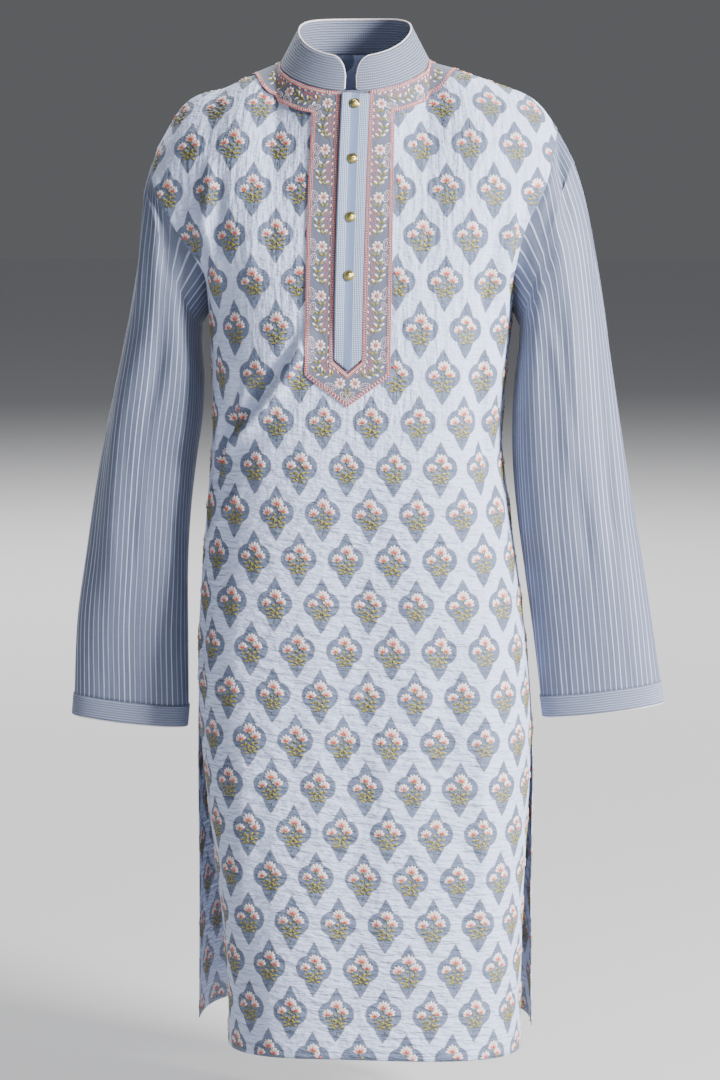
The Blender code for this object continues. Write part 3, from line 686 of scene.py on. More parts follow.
# ---------------------------------------------------------------- sleeves and cuffs
def arm_section(table, ring, turn):
    """Middle and rim of a sleeve's section at rings of the table and turns about the arm."""
    cos, sin = np.cos(2 * math.pi * turn), np.sin(2 * math.pi * turn)
    outer = stack(smooth(table, 1, ring), 0, smooth(table, 2, ring))
    inner = stack(smooth(table, 3, ring), 0, smooth(table, 4, ring))
    depth, y = smooth(table, 5, ring), smooth(table, 6, ring)
    middle = (outer + inner) / 2 + stack(0, y, 0)
    forward = -depth * np.sign(sin) * np.abs(sin) ** 0.9
    return middle, middle + (outer - inner) / 2 * cos[..., None] + stack(0, forward, 0)


def sleeve_points(table, ring, turn, side):
    """Points of a sleeve: ring 0 is the armhole seam; above it the head is tucked under the body."""
    up = 0.5 + 0.5 * np.cos(2 * math.pi * turn)
    seam = armhole_point(up, side, turn % 1 > 0.5)
    middle, points = arm_section(table, np.maximum(ring, 1.0), turn)
    early = ease(-0.2, 1.0, ring)[..., None] * np.clip(ring, 0, 1)[..., None] ** 0.5
    points = seam + (points - seam) * early
    tucked = np.clip(-ring, 0, 1)[..., None]
    inside = unit(stack(NECK_X, 0, -0.12) - seam)
    points = points + inside * tucked * TUCK + inside * SEAM_EASE * ease(-0.35, 0.0, -ring)[..., None]
    lift = np.zeros(turn.shape)
    for about, first, last, reach, rise in SLEEVE_FOLDS:
        away = (turn - about + 0.5) % 1 - 0.5
        ends = ease(first - 1, first + 1, ring) * ease(-last - 1, 1 - last, -ring)
        lift += rise * ends * np.exp(-(away / reach) ** 2)
    return points + unit(points - middle) * lift[..., None]


def sleeve_cut(points, head, seam):
    """Flat cut of a sleeve: a round the arm from its outer line, b up the arm to 0 at the seam. Above
    the head row every column runs straight on."""
    lower, middle = points[:head], points.shape[1] // 2
    up = lower @ unit(lower[-1].mean(axis=0) - lower[0].mean(axis=0))
    round_arm = np.linalg.norm(np.diff(lower, axis=1), axis=2) ** 2 - np.diff(up, axis=1) ** 2
    flat = np.zeros((*up.shape, 2))
    flat[:, 1:, 0] = np.cumsum(np.sqrt(np.maximum(round_arm, 0.0)), axis=1)
    flat[..., 0] -= flat[:, middle:middle + 1, 0]
    flat[..., 1] = up
    above = np.cumsum(np.linalg.norm(np.diff(points[head - 1:], axis=0), axis=2), axis=0)
    last = np.broadcast_to(flat[-1], (len(above), *flat[-1].shape)).copy()
    last[..., 1] += above
    flat = np.concatenate((flat, last))
    flat[..., 1] -= flat[seam - 1, middle, 1]
    return flat


def sleeve_cloth(table, side, creases):
    """One sleeve, from the cuff seam up to the head tucked under the body."""
    turns = np.linspace(0.5, -0.5, ARM_CELLS + 1) * side
    arm, head = np.linspace(LAST_RING, 0, SLEEVE_CELLS + 1), np.linspace(0, -1, TUCK_CELLS + 1)
    rings = np.concatenate((arm, head[1:]))
    turn, ring = np.meshgrid(turns, rings)
    points = sleeve_points(table, ring, turn, side)
    flat = sleeve_cut(points, int((rings >= HEAD_RING).sum()), int((rings >= 0).sum()))
    calm = ease(0.0, 0.6, ring) * ease(0.0, 0.5, LAST_RING - ring) * ease(0.0, 0.08, 0.5 - np.abs(turn))
    towards_front = [(-side * c[0], c[1], -side * c[2], c[3], side * c[4], *c[5:]) for c in creases]
    return Cloth(crease(points, flat, towards_front, calm), flat, joined=True)


def cuff_points(table, turn, down, out=0.0):
    """Cuff band below the sleeve's last ring, straight down the arm."""
    middle, rim = arm_section(table, np.full(np.shape(turn), float(LAST_RING)), turn)
    half = stack(table[-1][1] - table[-1][3], 0, table[-1][2] - table[-1][4])
    side = 1 if table[-1][1] > 0 else -1
    along = unit(stack(-half[..., 2], 0, half[..., 0])) * -side
    return rim + along * np.asarray(down)[..., None] + unit(rim - middle) * out


def cuff_cloth(table, side):
    """One cuff band, from just over the sleeve's end down into its piping."""
    turns = np.linspace(0.5, -0.5, ARM_CELLS + 1) * side
    downs = np.linspace(CUFF_HEIGHT + 0.0008, -0.0016, CUFF_CELLS + 1)
    turn, down = np.meshgrid(turns, downs)
    points = cuff_points(table, turn, down, CUFF_STAND)
    around = np.broadcast_to(lengths_along(points[0]), down.shape)
    return Cloth(points, np.stack((around, -down), axis=-1), joined=True)


# ---------------------------------------------------------------- collar
def collar_turn(u):
    """Angle round the neck for a share of the band's length, from one front end to the other."""
    gap = math.asin(COLLAR_GAP / NECK_HALF_WIDTH)
    closer_at_ends = u - 0.65 * np.sin(2 * math.pi * u) / (2 * math.pi)
    return gap + (2 * math.pi - 2 * gap) * closer_at_ends


def collar_points(u, up):
    """Points of the band: up 0 is the neck seam, 1 the top edge with its rounded ends."""
    turn = collar_turn(u)
    from_end = np.minimum(turn, 2 * math.pi - turn) * (NECK_HALF_WIDTH + NECK_HALF_DEPTH) / 2
    near = np.clip(1 - (from_end - COLLAR_GAP) / COLLAR_CORNER, 0, 1)
    height = COLLAR_HEIGHT * (COLLAR_END + (1 - COLLAR_END) * np.sqrt(1 - near ** 2))
    lean = COLLAR_LEAN_FRONT + (COLLAR_LEAN_SIDE - COLLAR_LEAN_FRONT) * np.sin(turn) ** 2
    inward = lean * up * height / COLLAR_HEIGHT
    rise = stack(-np.sin(turn) * inward, np.cos(turn) * inward, COLLAR_ROOM + height * up)
    return neck_point(turn) + rise


def collar_cloth():
    """The collar band, a little way down into the neck seam; heights count from the row nearest it."""
    along, upwards = COLLAR_CELLS
    u, up = np.meshgrid(np.linspace(0, 1, along + 1), np.linspace(-0.08, 1, upwards + 1))
    points = collar_points(u, up)
    around = np.broadcast_to(lengths_along(points[upwards // 2]), u.shape)
    heights = points[..., 2] - points[1, :, 2]
    return Cloth(points, np.stack((around, heights), axis=-1))


# ---------------------------------------------------------------- trim lying on the panels
def lay_on(panel, flat, lift):
    """Points over flat places of a panel, lifted along its normals."""
    column, row = panel.find(flat[..., 0].ravel(), flat[..., 1].ravel())
    places, normals = panel.place(column, row)
    return (places + normals * np.ravel(lift)[:, None]).reshape(*flat.shape[:2], 3)


def neckline(panel, share, out):
    """Flat places round a panel's half of the neckline, out metres away from it: share is 0 at the
    middle and 1 at a shoulder, where the direction runs along the shoulder seam."""
    rows, columns = panel.flat.shape[:2]
    middle = (columns - 1) / 2

    def edge(at):
        return sample(panel.flat, middle * (1 + NECK_SHARE * at), np.full(np.shape(at), rows - 1.0))

    step = 0.015
    at = np.clip(share, step - 1, 1 - step)
    ahead = edge(at + step) - edge(at - step)
    away = unit(np.stack((ahead[..., 1], -ahead[..., 0]), axis=-1))
    side = np.where(share > 0, 1.0, -1.0)
    seam = unit(edge(side * 1.6) - edge(side * 1.02))
    turned = ease(0.6, 1.0, np.abs(share))[..., None]
    return edge(share) + unit(away * (1 - turned) + seam * turned) * np.asarray(out)[..., None]


def placket_middle(panel, b):
    """Where the placket's middle runs; it leans a little to the left as it rises."""
    top = panel.flat[-1, panel.flat.shape[1] // 2, 1] - PLACKET_TOP
    return PLACKET_LEAN * (b - PLACKET_END_Z) / (top - PLACKET_END_Z), top


def placket_cloth(panel):
    """The strip of the half placket; its right edge stands a little off the body."""
    wide, long = PLACKET_CELLS
    across, down = np.meshgrid(np.linspace(-1, 1, wide + 1), np.linspace(1, 0, long + 1))
    _, top = placket_middle(panel, 0)
    b = top + (PLACKET_END_Z - PLACKET_POINT * (1 - np.abs(across)) - top) * down
    a = placket_middle(panel, b)[0] + across * PLACKET_HALF_WIDTH
    opening = ease(0.0, 0.9, -across) * ease(0.0, 0.2, 1 - down) * PLACKET_STAND
    points = lay_on(panel, np.stack((a, b), axis=-1), TRIM_LIFT + PLACKET_OVER + opening)
    return Cloth(points, np.stack((across * PLACKET_HALF_WIDTH, b), axis=-1))


def panel_outline(panel, cell, side, inner):
    """Inner or outer edge of the front neck panel, counted in cells from its point up to a shoulder."""
    tip, leg, ring = (cells for _, cells in RIBBON_CELLS)
    way = np.clip(cell / tip, 0, 1)
    width, end, point = ((PANEL_INNER, PANEL_INNER_END_Z, PANEL_INNER_POINT) if inner else
                         (PANEL_OUTER, PANEL_OUTER_END_Z, PANEL_OUTER_POINT))
    low = np.stack((side * way * width, end - point * (1 - way)), axis=-1)
    start = np.where(side > 0, *(corner[0 if inner else 1] for corner in PANEL_CORNERS[::-1])) / 90
    share = start + (PANEL_END_SHARE - start) * np.maximum(cell - tip - leg, 0) / ring
    high = neckline(panel, side * share, np.full(share.shape, RING_INNER if inner else RING_OUTER))
    down = np.clip(1 - (cell - tip) / leg, 0, 1)[..., None]
    return high + (low - high) * down


def ribbon(points):
    """A ribbon of cloth: its flat places are metres along its middle and 0 to 1 across it, and its
    outline opens it out straight at its own width."""
    middle = points[points.shape[0] // 2]
    along = lengths_along(middle)
    along -= along[len(along) // 2]
    flat = np.stack(np.meshgrid(along, np.linspace(0, 1, points.shape[0])), axis=-1)
    width = np.linalg.norm(points[-1] - points[0], axis=1)
    return Cloth(points, flat, outline=np.stack((flat[..., 0], flat[..., 1] * width), axis=-1))


def front_neck_cloth(panel):
    """The front neck panel: from one shoulder down to its point and up to the other."""
    half = sum(cells for _, cells in RIBBON_CELLS)
    columns = 2 * half * RIBBON_FINENESS
    u, v = np.meshgrid(np.linspace(-1, 1, columns + 1), np.linspace(0, 1, TRIM_CELLS + 1))
    cell, side = np.abs(u) * half, np.where(u > 0, 1.0, -1.0)
    inner, outer = panel_outline(panel, cell, side, True), panel_outline(panel, cell, side, False)
    return ribbon(lay_on(panel, outer + (inner - outer) * v[..., None], np.full(u.shape, TRIM_LIFT)))


def back_neck_cloth(panel):
    """The back neck panel, from shoulder to shoulder."""
    shares = np.linspace(-BACK_END_SHARE, BACK_END_SHARE, BACK_TRIM_CELLS + 1)
    u, v = np.meshgrid(shares, np.linspace(0, 1, TRIM_CELLS + 1))
    places = neckline(panel, u, RING_OUTER + (RING_INNER - RING_OUTER) * v)
    return ribbon(lay_on(panel, places, np.full(u.shape, TRIM_LIFT)))


# ---------------------------------------------------------------- needlework
# One satin stitch: places along it (0 foot, 1 tip), across it (-1 to 1) and up
STITCH = np.array((
    (0.0, 0.0, 0.2), (0.3, -0.8, 0.0), (0.3, 0.0, 1.0), (0.3, 0.8, 0.0),
    (0.72, -1.0, 0.0), (0.72, 0.0, 1.0), (0.72, 1.0, 0.0), (1.0, 0.0, 0.2)))
STITCH_FACES = np.array(((0, 3, 2, 1), (1, 2, 5, 4), (2, 3, 6, 5), (4, 5, 6, 7)))


class Needlework:
    """Raised stitches gathered into one mesh, each a small satin pad from its foot to its tip."""

    def __init__(self):
        self.batches = []

    def sew(self, feet, tips, normals, width, rise, foot_colour, tip_colour, shade):
        """Add stitches; shade is a painted shade factor that darkens the lower flank of each."""
        count = len(feet)
        values = [np.broadcast_to(np.asarray(v, float), (count,)) for v in (width, rise, shade)]
        colours = [np.broadcast_to(np.asarray(c, float), (count, 3)) for c in (foot_colour, tip_colour)]
        self.batches.append((feet, tips, normals, *values, *colours))

    def finish(self, name, finish):
        """Make all the stitches one piece."""
        parts = [np.concatenate(part) for part in zip(*self.batches)]
        feet, tips, normals, width, rise, shade, foot_colour, tip_colour = parts
        along, across, up = STITCH.T
        side = unit(np.cross(tips - feet, normals))
        points = feet[:, None] + (tips - feet)[:, None] * along[:, None]
        points = points + side[:, None] * (width / 2)[:, None, None] * across[:, None]
        points = points + normals[:, None] * (rise[:, None] * up - 0.0001)[..., None]
        mix = (along ** 0.7)[:, None]
        colour = foot_colour[:, None] * (1 - mix) + tip_colour[:, None] * mix
        # Painted shade: the lower flank of each stitch, the one facing down, is darkened by its shade
        # factor.
        lower = across * np.where(side[:, 2] < 0, 1, -1)[:, None] > 0
        colour = colour * np.where(lower, shade[:, None], 1.0)[..., None]
        faces = (np.arange(len(feet))[:, None, None] * len(STITCH) + STITCH_FACES).reshape(-1, 4)
        data = bpy.data.meshes.new(name)
        data.from_pydata(points.reshape(-1, 3).tolist(), [], faces.tolist())
        dyed = data.color_attributes.new("thread", "FLOAT_COLOR", "POINT")
        rgba = np.concatenate((colour.reshape(-1, 3), np.ones((colour.size // 3, 1))), axis=1)
        dyed.data.foreach_set("color", rgba.ravel())
        data.shade_smooth()
        return piece(name, data, finish)


def fan(x, y, lean, petals, spread, length, width):
    """Petals of one flower seen from the side, radiating up from its base."""
    made = []
    for i in range(petals):
        k = 2 * i / (petals - 1) - 1
        turn = math.radians(lean + spread * k)
        reach = length * (1 - 0.2 * k * k)
        way = np.array((math.sin(turn), math.cos(turn)))
        foot = np.array((x, y)) + way * 0.6
        made.append((*foot, *(foot + way * reach), width, 1.0, "petal"))
    for k in (-0.7, 0.0, 0.7):
        turn = math.radians(lean + spread * k)
        tip = np.array((x, y)) + np.array((math.sin(turn), math.cos(turn))) * length * 0.58
        made.append((x, y, *tip, width * 0.74, 1.5, "heart"))
    made.append((x - 0.2, y - 2.6, x, y + 0.8, 2.4, 1.3, "leaf"))
    return made


def leaf(foot, turn, length, width):
    """A leaf with a dark stitch along its lower side, partly a real dark thread and partly a painted shadow
    under the leaf.
    """
    way = np.array((math.cos(turn), math.sin(turn)))
    low = np.array((way[1], -way[0])) * (1 if way[0] > 0 else -1) * width * 0.42
    # The dark stitch: partly a real dark thread, partly a painted shadow under the leaf.
    dark_foot, dark_tip = foot + low + way * 0.3, foot + low * 0.7 + way * length * 0.86
    return [(*foot, *(foot + way * length), width, 0.9, "leaf"), (*dark_foot, *dark_tip, 1.4, 0.6, "shade")]


def stem(points, leaves, width):
    """A curved stem through three points, with leaves at shares of it: share, side, length."""
    start, bend, end = (np.array(p, float) for p in points)
    places = [start * (1 - t) ** 2 + 2 * bend * t * (1 - t) + end * t * t for t in np.linspace(0, 1, 6)]
    made = [(*p, *(q + (q - p) * 0.15), 1.1, 0.5, "stem") for p, q in zip(places, places[1:])]
    for share, side, length in leaves:
        foot = start * (1 - share) ** 2 + 2 * bend * share * (1 - share) + end * share ** 2
        way = (bend - start) * (1 - share) + (end - bend) * share
        made += leaf(foot, math.atan2(way[1], way[0]) - side * math.radians(56), length * 1.12, width)
    return made


def sprig():
    """Stitches of one sprig in millimetres from the middle of its printed frame."""
    made = stem(((-0.8, -23.5), (3.2, -12), (0.6, 6.0)),
                ((0.34, -1, 4.8), (0.42, 1, 5.2), (0.54, -1, 4.6), (0.62, 1, 4.6), (0.74, -1, 4.2),
                 (0.84, 1, 3.8)), 2.4)
    made += stem(((0.9, -16.0), (-3.0, -11.5), (-8.0, -3.0)),
                 ((0.16, -1, 5.4), (0.36, 1, 4.6), (0.44, -1, 5.2), (0.66, 1, 4.2), (0.74, -1, 4.4)), 2.4)
    made += stem(((1.4, -15.0), (6.0, -11.5), (6.4, -1.6)),
                 ((0.14, 1, 5.4), (0.34, -1, 4.2), (0.44, 1, 5.4), (0.64, -1, 4.0), (0.76, 1, 4.4)), 2.4)
    made += fan(0.7, 6.6, 0, 7, 70, 8.8, 3.1)
    made += fan(-8.6, -2.0, -16, 6, 66, 7.2, 2.9)
    made += fan(6.8, -0.2, 12, 6, 66, 7.4, 2.9)
    return made


# Thread of each kind of stitch: foot colour, tip colour, and the painted shade factor for its lower flank.
# The "shade" kind is the dark stitch beside each leaf, partly a real dark thread and partly a painted
# shadow.
THREADS = {
    "petal": (THREAD_CORAL, THREAD_WHITE, 0.85),
    "heart": (THREAD_CORAL, THREAD_CORAL, 0.9),
    "leaf": (THREAD_OLIVE, THREAD_GOLD, 0.6),
    "shade": (THREAD_DARK, THREAD_DARK, 0.8),
    "stem": (THREAD_OLIVE, THREAD_OLIVE, 0.6),
}


def under_neck_panel(panel, a, b, legs):
    """True for flat places that the neck panel covers; only the front one has legs and a placket."""
    rim = neckline(panel, np.linspace(-1, 1, 121), np.zeros(121))
    near = np.array([np.linalg.norm(rim - place, axis=1).min() for place in np.stack((a, b), axis=-1)])
    point = PANEL_OUTER_END_Z - PANEL_OUTER_POINT * (1 - np.abs(a) / PANEL_OUTER)
    inner = np.abs(a - placket_middle(panel, b)[0] * 0.7) < PANEL_OUTER + 0.001
    return (near < RING_OUTER + 0.0015) | (legs & inner & (b > point - 0.002))


def printed_frames(cloth):
    """Middles of the printed frames that lie on a panel or just past its edge, in its flat cut."""
    rows, columns = np.meshgrid(np.arange(-3, 24), np.arange(-8, 9), indexing="ij")
    a = (columns + 0.5 * (rows % 2 == 0)) * PRINT_PITCH
    b = PRINT_START + rows * PRINT_DROP / 2
    a, b = a.ravel(), b.ravel()
    near = (a > cloth.flat[..., 0].min() - 0.02) & (a < cloth.flat[..., 0].max() + 0.02)
    near &= (b > cloth.flat[..., 1].min() - 0.03) & (b < cloth.flat[..., 1].max() + 0.03)
    return a[near], b[near]


def sprigs_on(cloth, name, finish, seed, legs):
    """The embroidered sprig in every printed frame of a panel, each a little different. On the back
    its stitches also show on the reverse beside the side slits."""
    rng = np.random.default_rng(seed)
    a, b = printed_frames(cloth)
    template = sprig()
    marks = np.array([row[:4] for row in template]) / 1000
    widths, rises = (np.array([row[k] for row in template]) / 1000 for k in (4, 5))
    foot_colour, tip_colour = (np.array([THREADS[row[6]][k] for row in template]) for k in (0, 1))
    shade = np.array([THREADS[row[6]][2] for row in template])
    count, each = len(a), len(template)
    lean = rng.normal(0, 0.05, count)[:, None]
    size = rng.normal(1, 0.03, count)[:, None]
    wander = rng.normal(0, 0.00028, (count, each, 4))
    marks = marks[None] + wander
    turned = []
    for x, y in ((marks[..., 0], marks[..., 1]), (marks[..., 2], marks[..., 3])):
        turned.append((a[:, None] + size * (x * np.cos(lean) + y * np.sin(lean)),
                       b[:, None] + size * (y * np.cos(lean) - x * np.sin(lean))))
    ends = [cloth.find(x.ravel(), y.ravel()) for x, y in turned]
    kept = cloth.inside(*ends[0]) & cloth.inside(*ends[1])
    feet, normals = cloth.place(*ends[0])
    tips, _ = cloth.place(*ends[1])
    for x, y in turned:
        close = kept & (y.ravel() > PANEL_OUTER_END_Z - PANEL_OUTER_POINT - 0.02)
        kept[close] &= ~under_neck_panel(cloth, x.ravel()[close], y.ravel()[close], legs)
    tone = rng.normal(1, 0.07, (count, each, 1)).reshape(-1, 1)
    spread = [np.broadcast_to(v, (count, *v.shape)).reshape(-1, *v.shape[1:])
              for v in (widths, rises, foot_colour, tip_colour, shade)]
    spread[2], spread[3] = spread[2] * tone, spread[3] * tone
    work = Needlework()
    work.sew(feet[kept], tips[kept], normals[kept], *(v[kept] for v in spread))
    if not legs:
        seen = kept & (np.abs(turned[0][0].ravel()) > 0.10) & (turned[0][1].ravel() < SLIT_TOP_Z)
        under = normals[seen] * CLOTH
        work.sew(feet[seen] - under, tips[seen] - under, -normals[seen], *(v[seen] for v in spread))
    return work.finish(name, finish)


class Ribbon:
    """A trim strip as a place for needlework: local frames at metres along and 0 to 1 across it."""

    def __init__(self, cloth, work, mirror=1):
        self.cloth, self.work, self.mirror = cloth, work, mirror
        self.columns = np.arange(cloth.flat.shape[1])
        self.along = cloth.flat[0, :, 0]

    def frames(self, along, inward):
        """Places, directions along and across, and normals; across points to the inner edge."""
        along = np.atleast_1d(np.asarray(along, float)) * self.mirror
        column = np.interp(along, self.along, self.columns)
        row = np.broadcast_to(np.asarray(inward, float), column.shape) * (self.cloth.flat.shape[0] - 1)
        places, normals = self.cloth.place(column, row)
        ahead, _ = self.cloth.place(column + 0.5, row)
        behind, _ = self.cloth.place(column - 0.5, row)
        forward = unit(ahead - behind) * self.mirror
        inner = np.cross(normals, forward) * self.mirror
        return places, forward, inner, normals

    def motif(self, along, inward, marks, colours):
        """Stitches about one centre: marks are foot x, y, tip x, y, width, rise in millimetres."""
        place, forward, inner, normal = (v[0] for v in self.frames(along, inward))
        marks = np.array(marks, float) / 1000
        feet = place + forward * marks[:, 0:1] + inner * marks[:, 1:2]
        tips = place + forward * marks[:, 2:3] + inner * marks[:, 3:4]
        normals = np.broadcast_to(normal, feet.shape)
        self.work.sew(feet, tips, normals, marks[:, 4], marks[:, 5], *colours)

    def line(self, along, inward, width, rise, colours):
        """A run of stitches through places along the ribbon, each a little over the next one's foot."""
        overlap = 0.12
        places, _, _, normals = self.frames(along, inward)
        feet, tips = places[:-1], places[1:] + (places[1:] - places[:-1]) * overlap
        self.work.sew(feet, tips, normals[:-1], width, rise, *colours)


def daisy_marks():
    """Petals of one daisy seen from the front."""
    petals, reach = 8, 6.0
    marks = []
    for i in range(petals):
        turn = 2 * math.pi * (i + 0.5) / petals
        x, y = math.cos(turn), math.sin(turn)
        marks.append((x * 1.1, y * 1.1, x * reach, y * reach, 3.0, 1.0))
    return marks


def loop_marks(length, width, turn, thread, steps=14):
    """Outline of a leaf as short stitches round it."""
    ways = np.linspace(0, 2 * math.pi, steps + 1)
    u, v = length / 2 * np.cos(ways), width / 2 * np.sin(ways) * np.abs(np.sin(ways)) ** 0.3
    px, py = u * math.cos(turn) - v * math.sin(turn), u * math.sin(turn) + v * math.cos(turn)
    return [(px[i], py[i], px[i + 1], py[i + 1], thread, 0.5) for i in range(steps)]


def vine_sway(share):
    """Where the vine runs across a neck ribbon: round the inner side of each daisy, then outwards."""
    return 0.565 + 0.16 * np.cos(2 * math.pi * share)


def daisy_and_vine(ribbon, start, step):
    """A daisy, and the vine that runs on from it with gold and white leaves."""
    ribbon.motif(start, 0.54, daisy_marks(), (THREAD_PINK, THREAD_WHITE, 0.8))
    ribbon.motif(start, 0.54, [(-0.9, 0, 0.9, 0, 1.8, 1.3)], (THREAD_GOLD, THREAD_PINK, 0.8))
    share = np.linspace(0, 1, 21)
    ribbon.line(start + share * step, vine_sway(share), 0.0010, 0.0005, (THREAD_OLIVE, THREAD_OLIVE, 0.7))
    for i, share in enumerate(np.linspace(0.21, 0.77, 9)):
        golden = i % 2 == 0
        colours = (THREAD_OLIVE, THREAD_GOLD, 0.4) if golden else (THREAD_WHITE, THREAD_WHITE, 0.85)
        for side in (1, -1):
            way = math.radians(40 if golden else 56)
            reach = 5.6 if golden else 4.8
            tip = (reach * math.cos(way), side * reach * math.sin(way))
            foot = (0.6, side * (0.2 if golden else 1.6))
            mark = (*foot, foot[0] + tip[0], foot[1] + tip[1], 2.7 if golden else 2.1, 0.9)
            ribbon.motif(start + share * step, vine_sway(share), [mark], colours)


def leaf_outlines(ribbon, start, step):
    """Two open leaves on the outer side of a daisy, each with a smaller one inside it."""
    for away, turn in ((-0.145, 0.28), (0.145, -0.28)):
        for length, width, colour in ((12.8, 6.6, THREAD_WHITE), (8.0, 3.0, THREAD_BLUSH)):
            marks = loop_marks(length, width, turn, 1.0)
            ribbon.motif(start + away * step, 0.235, marks, (THREAD_BLUSH, colour, 0.9))


def rose_curls(ribbon, start, step):
    """Curls between two daisies, a wavy line inside them and a row of white stitches."""
    for share, aside, turn in ((0.32, 0.66, 0.4), (0.39, 0.62, 1.9), (0.46, 0.69, 0.2), (0.53, 0.63, 1.5),
                               (0.60, 0.69, 0.7), (0.67, 0.64, 2.2)):
        ribbon.motif(start + share * step, aside, loop_marks(4.4, 3.4, turn, 0.85, 9),
                     (THREAD_ROSE, THREAD_ROSE, 0.85))
    share = np.linspace(0.12, 0.88, 12)
    ribbon.line(start + share * step, 0.755 + 0.018 * np.cos(26 * share), 0.0008, 0.0005,
                (THREAD_ROSE, THREAD_ROSE, 0.85))
    for share in (0.16, 0.30, 0.44, 0.58, 0.72, 0.86):
        ribbon.motif(start + share * step, 0.815, [(-2.0, -0.5, 2.0, 0.5, 1.5, 0.8)],
                     (THREAD_WHITE, THREAD_WHITE, 0.85))


def chain_border(ribbon, inward, first, last):
    """A pink cord on either side of a row of white knots, along one edge of a neck ribbon."""
    length = last - first
    along = np.linspace(first, last, int(length / 0.0026))
    for offset in (-0.052, 0.052):
        ribbon.line(along, inward + offset, 0.0017, 0.0010, (THREAD_ROSE, THREAD_PINK, 0.8))
    spots = np.linspace(first, last, int(length / 0.0024))
    places, forward, inner, normals = ribbon.frames(spots, inward)
    ribbon.work.sew(places - forward * 0.0008 - inner * 0.0005, places + forward * 0.0008 + inner * 0.0005,
                    normals, 0.0014, 0.0010, THREAD_PINK, THREAD_WHITE, 0.9)


def neck_needlework(cloth, name, finish, pointed):
    """All needlework on a neck panel; the front one is pointed, with a few leaves at its point."""
    work = Needlework()
    last = cloth.flat[0, -1, 0]
    whole = Ribbon(cloth, work)
    for inward in (0.068, 0.925):
        chain_border(whole, inward, 0.001 - last, last - 0.001)
    start = 0.0100 if pointed else 0.0
    step = (last - 0.006 - start) / round((last - 0.006 - start) / DAISY_STEP)
    for mirror in (1, -1):
        for number in range(round((last - 0.006 - start) / step)):
            for stretch in (daisy_and_vine, leaf_outlines, rose_curls):
                stretch(Ribbon(cloth, work, mirror), start + number * step, step)
    if pointed:
        marks = [(0, low, side * 3.6, low + 3.0, 2.0, 0.9) for side in (1, -1) for low in (-7, -4, -1)]
        whole.motif(0, 0.5, marks, (THREAD_OLIVE, THREAD_GOLD, 0.5))
    return work.finish(name, finish)


# ---------------------------------------------------------------- shader helpers
class Value:
    """A shader socket that takes part in arithmetic; each operator adds its Math node."""

    def __init__(self, finish, socket):
        self.finish, self.socket = finish, socket

    def __add__(self, other):
        return self.finish.maths("ADD", self, other)

    def __sub__(self, other):
        return self.finish.maths("SUBTRACT", self, other)

    def __mul__(self, other):
        return self.finish.maths("MULTIPLY", self, other)

    def __truediv__(self, other):
        return self.finish.maths("DIVIDE", self, other)

    def __pow__(self, other):
        return self.finish.maths("POWER", self, other)

    def __rsub__(self, other):
        return self.finish.maths("SUBTRACT", other, self)

    __radd__, __rmul__ = __add__, __mul__

    def __abs__(self):
        return self.finish.maths("ABSOLUTE", self)


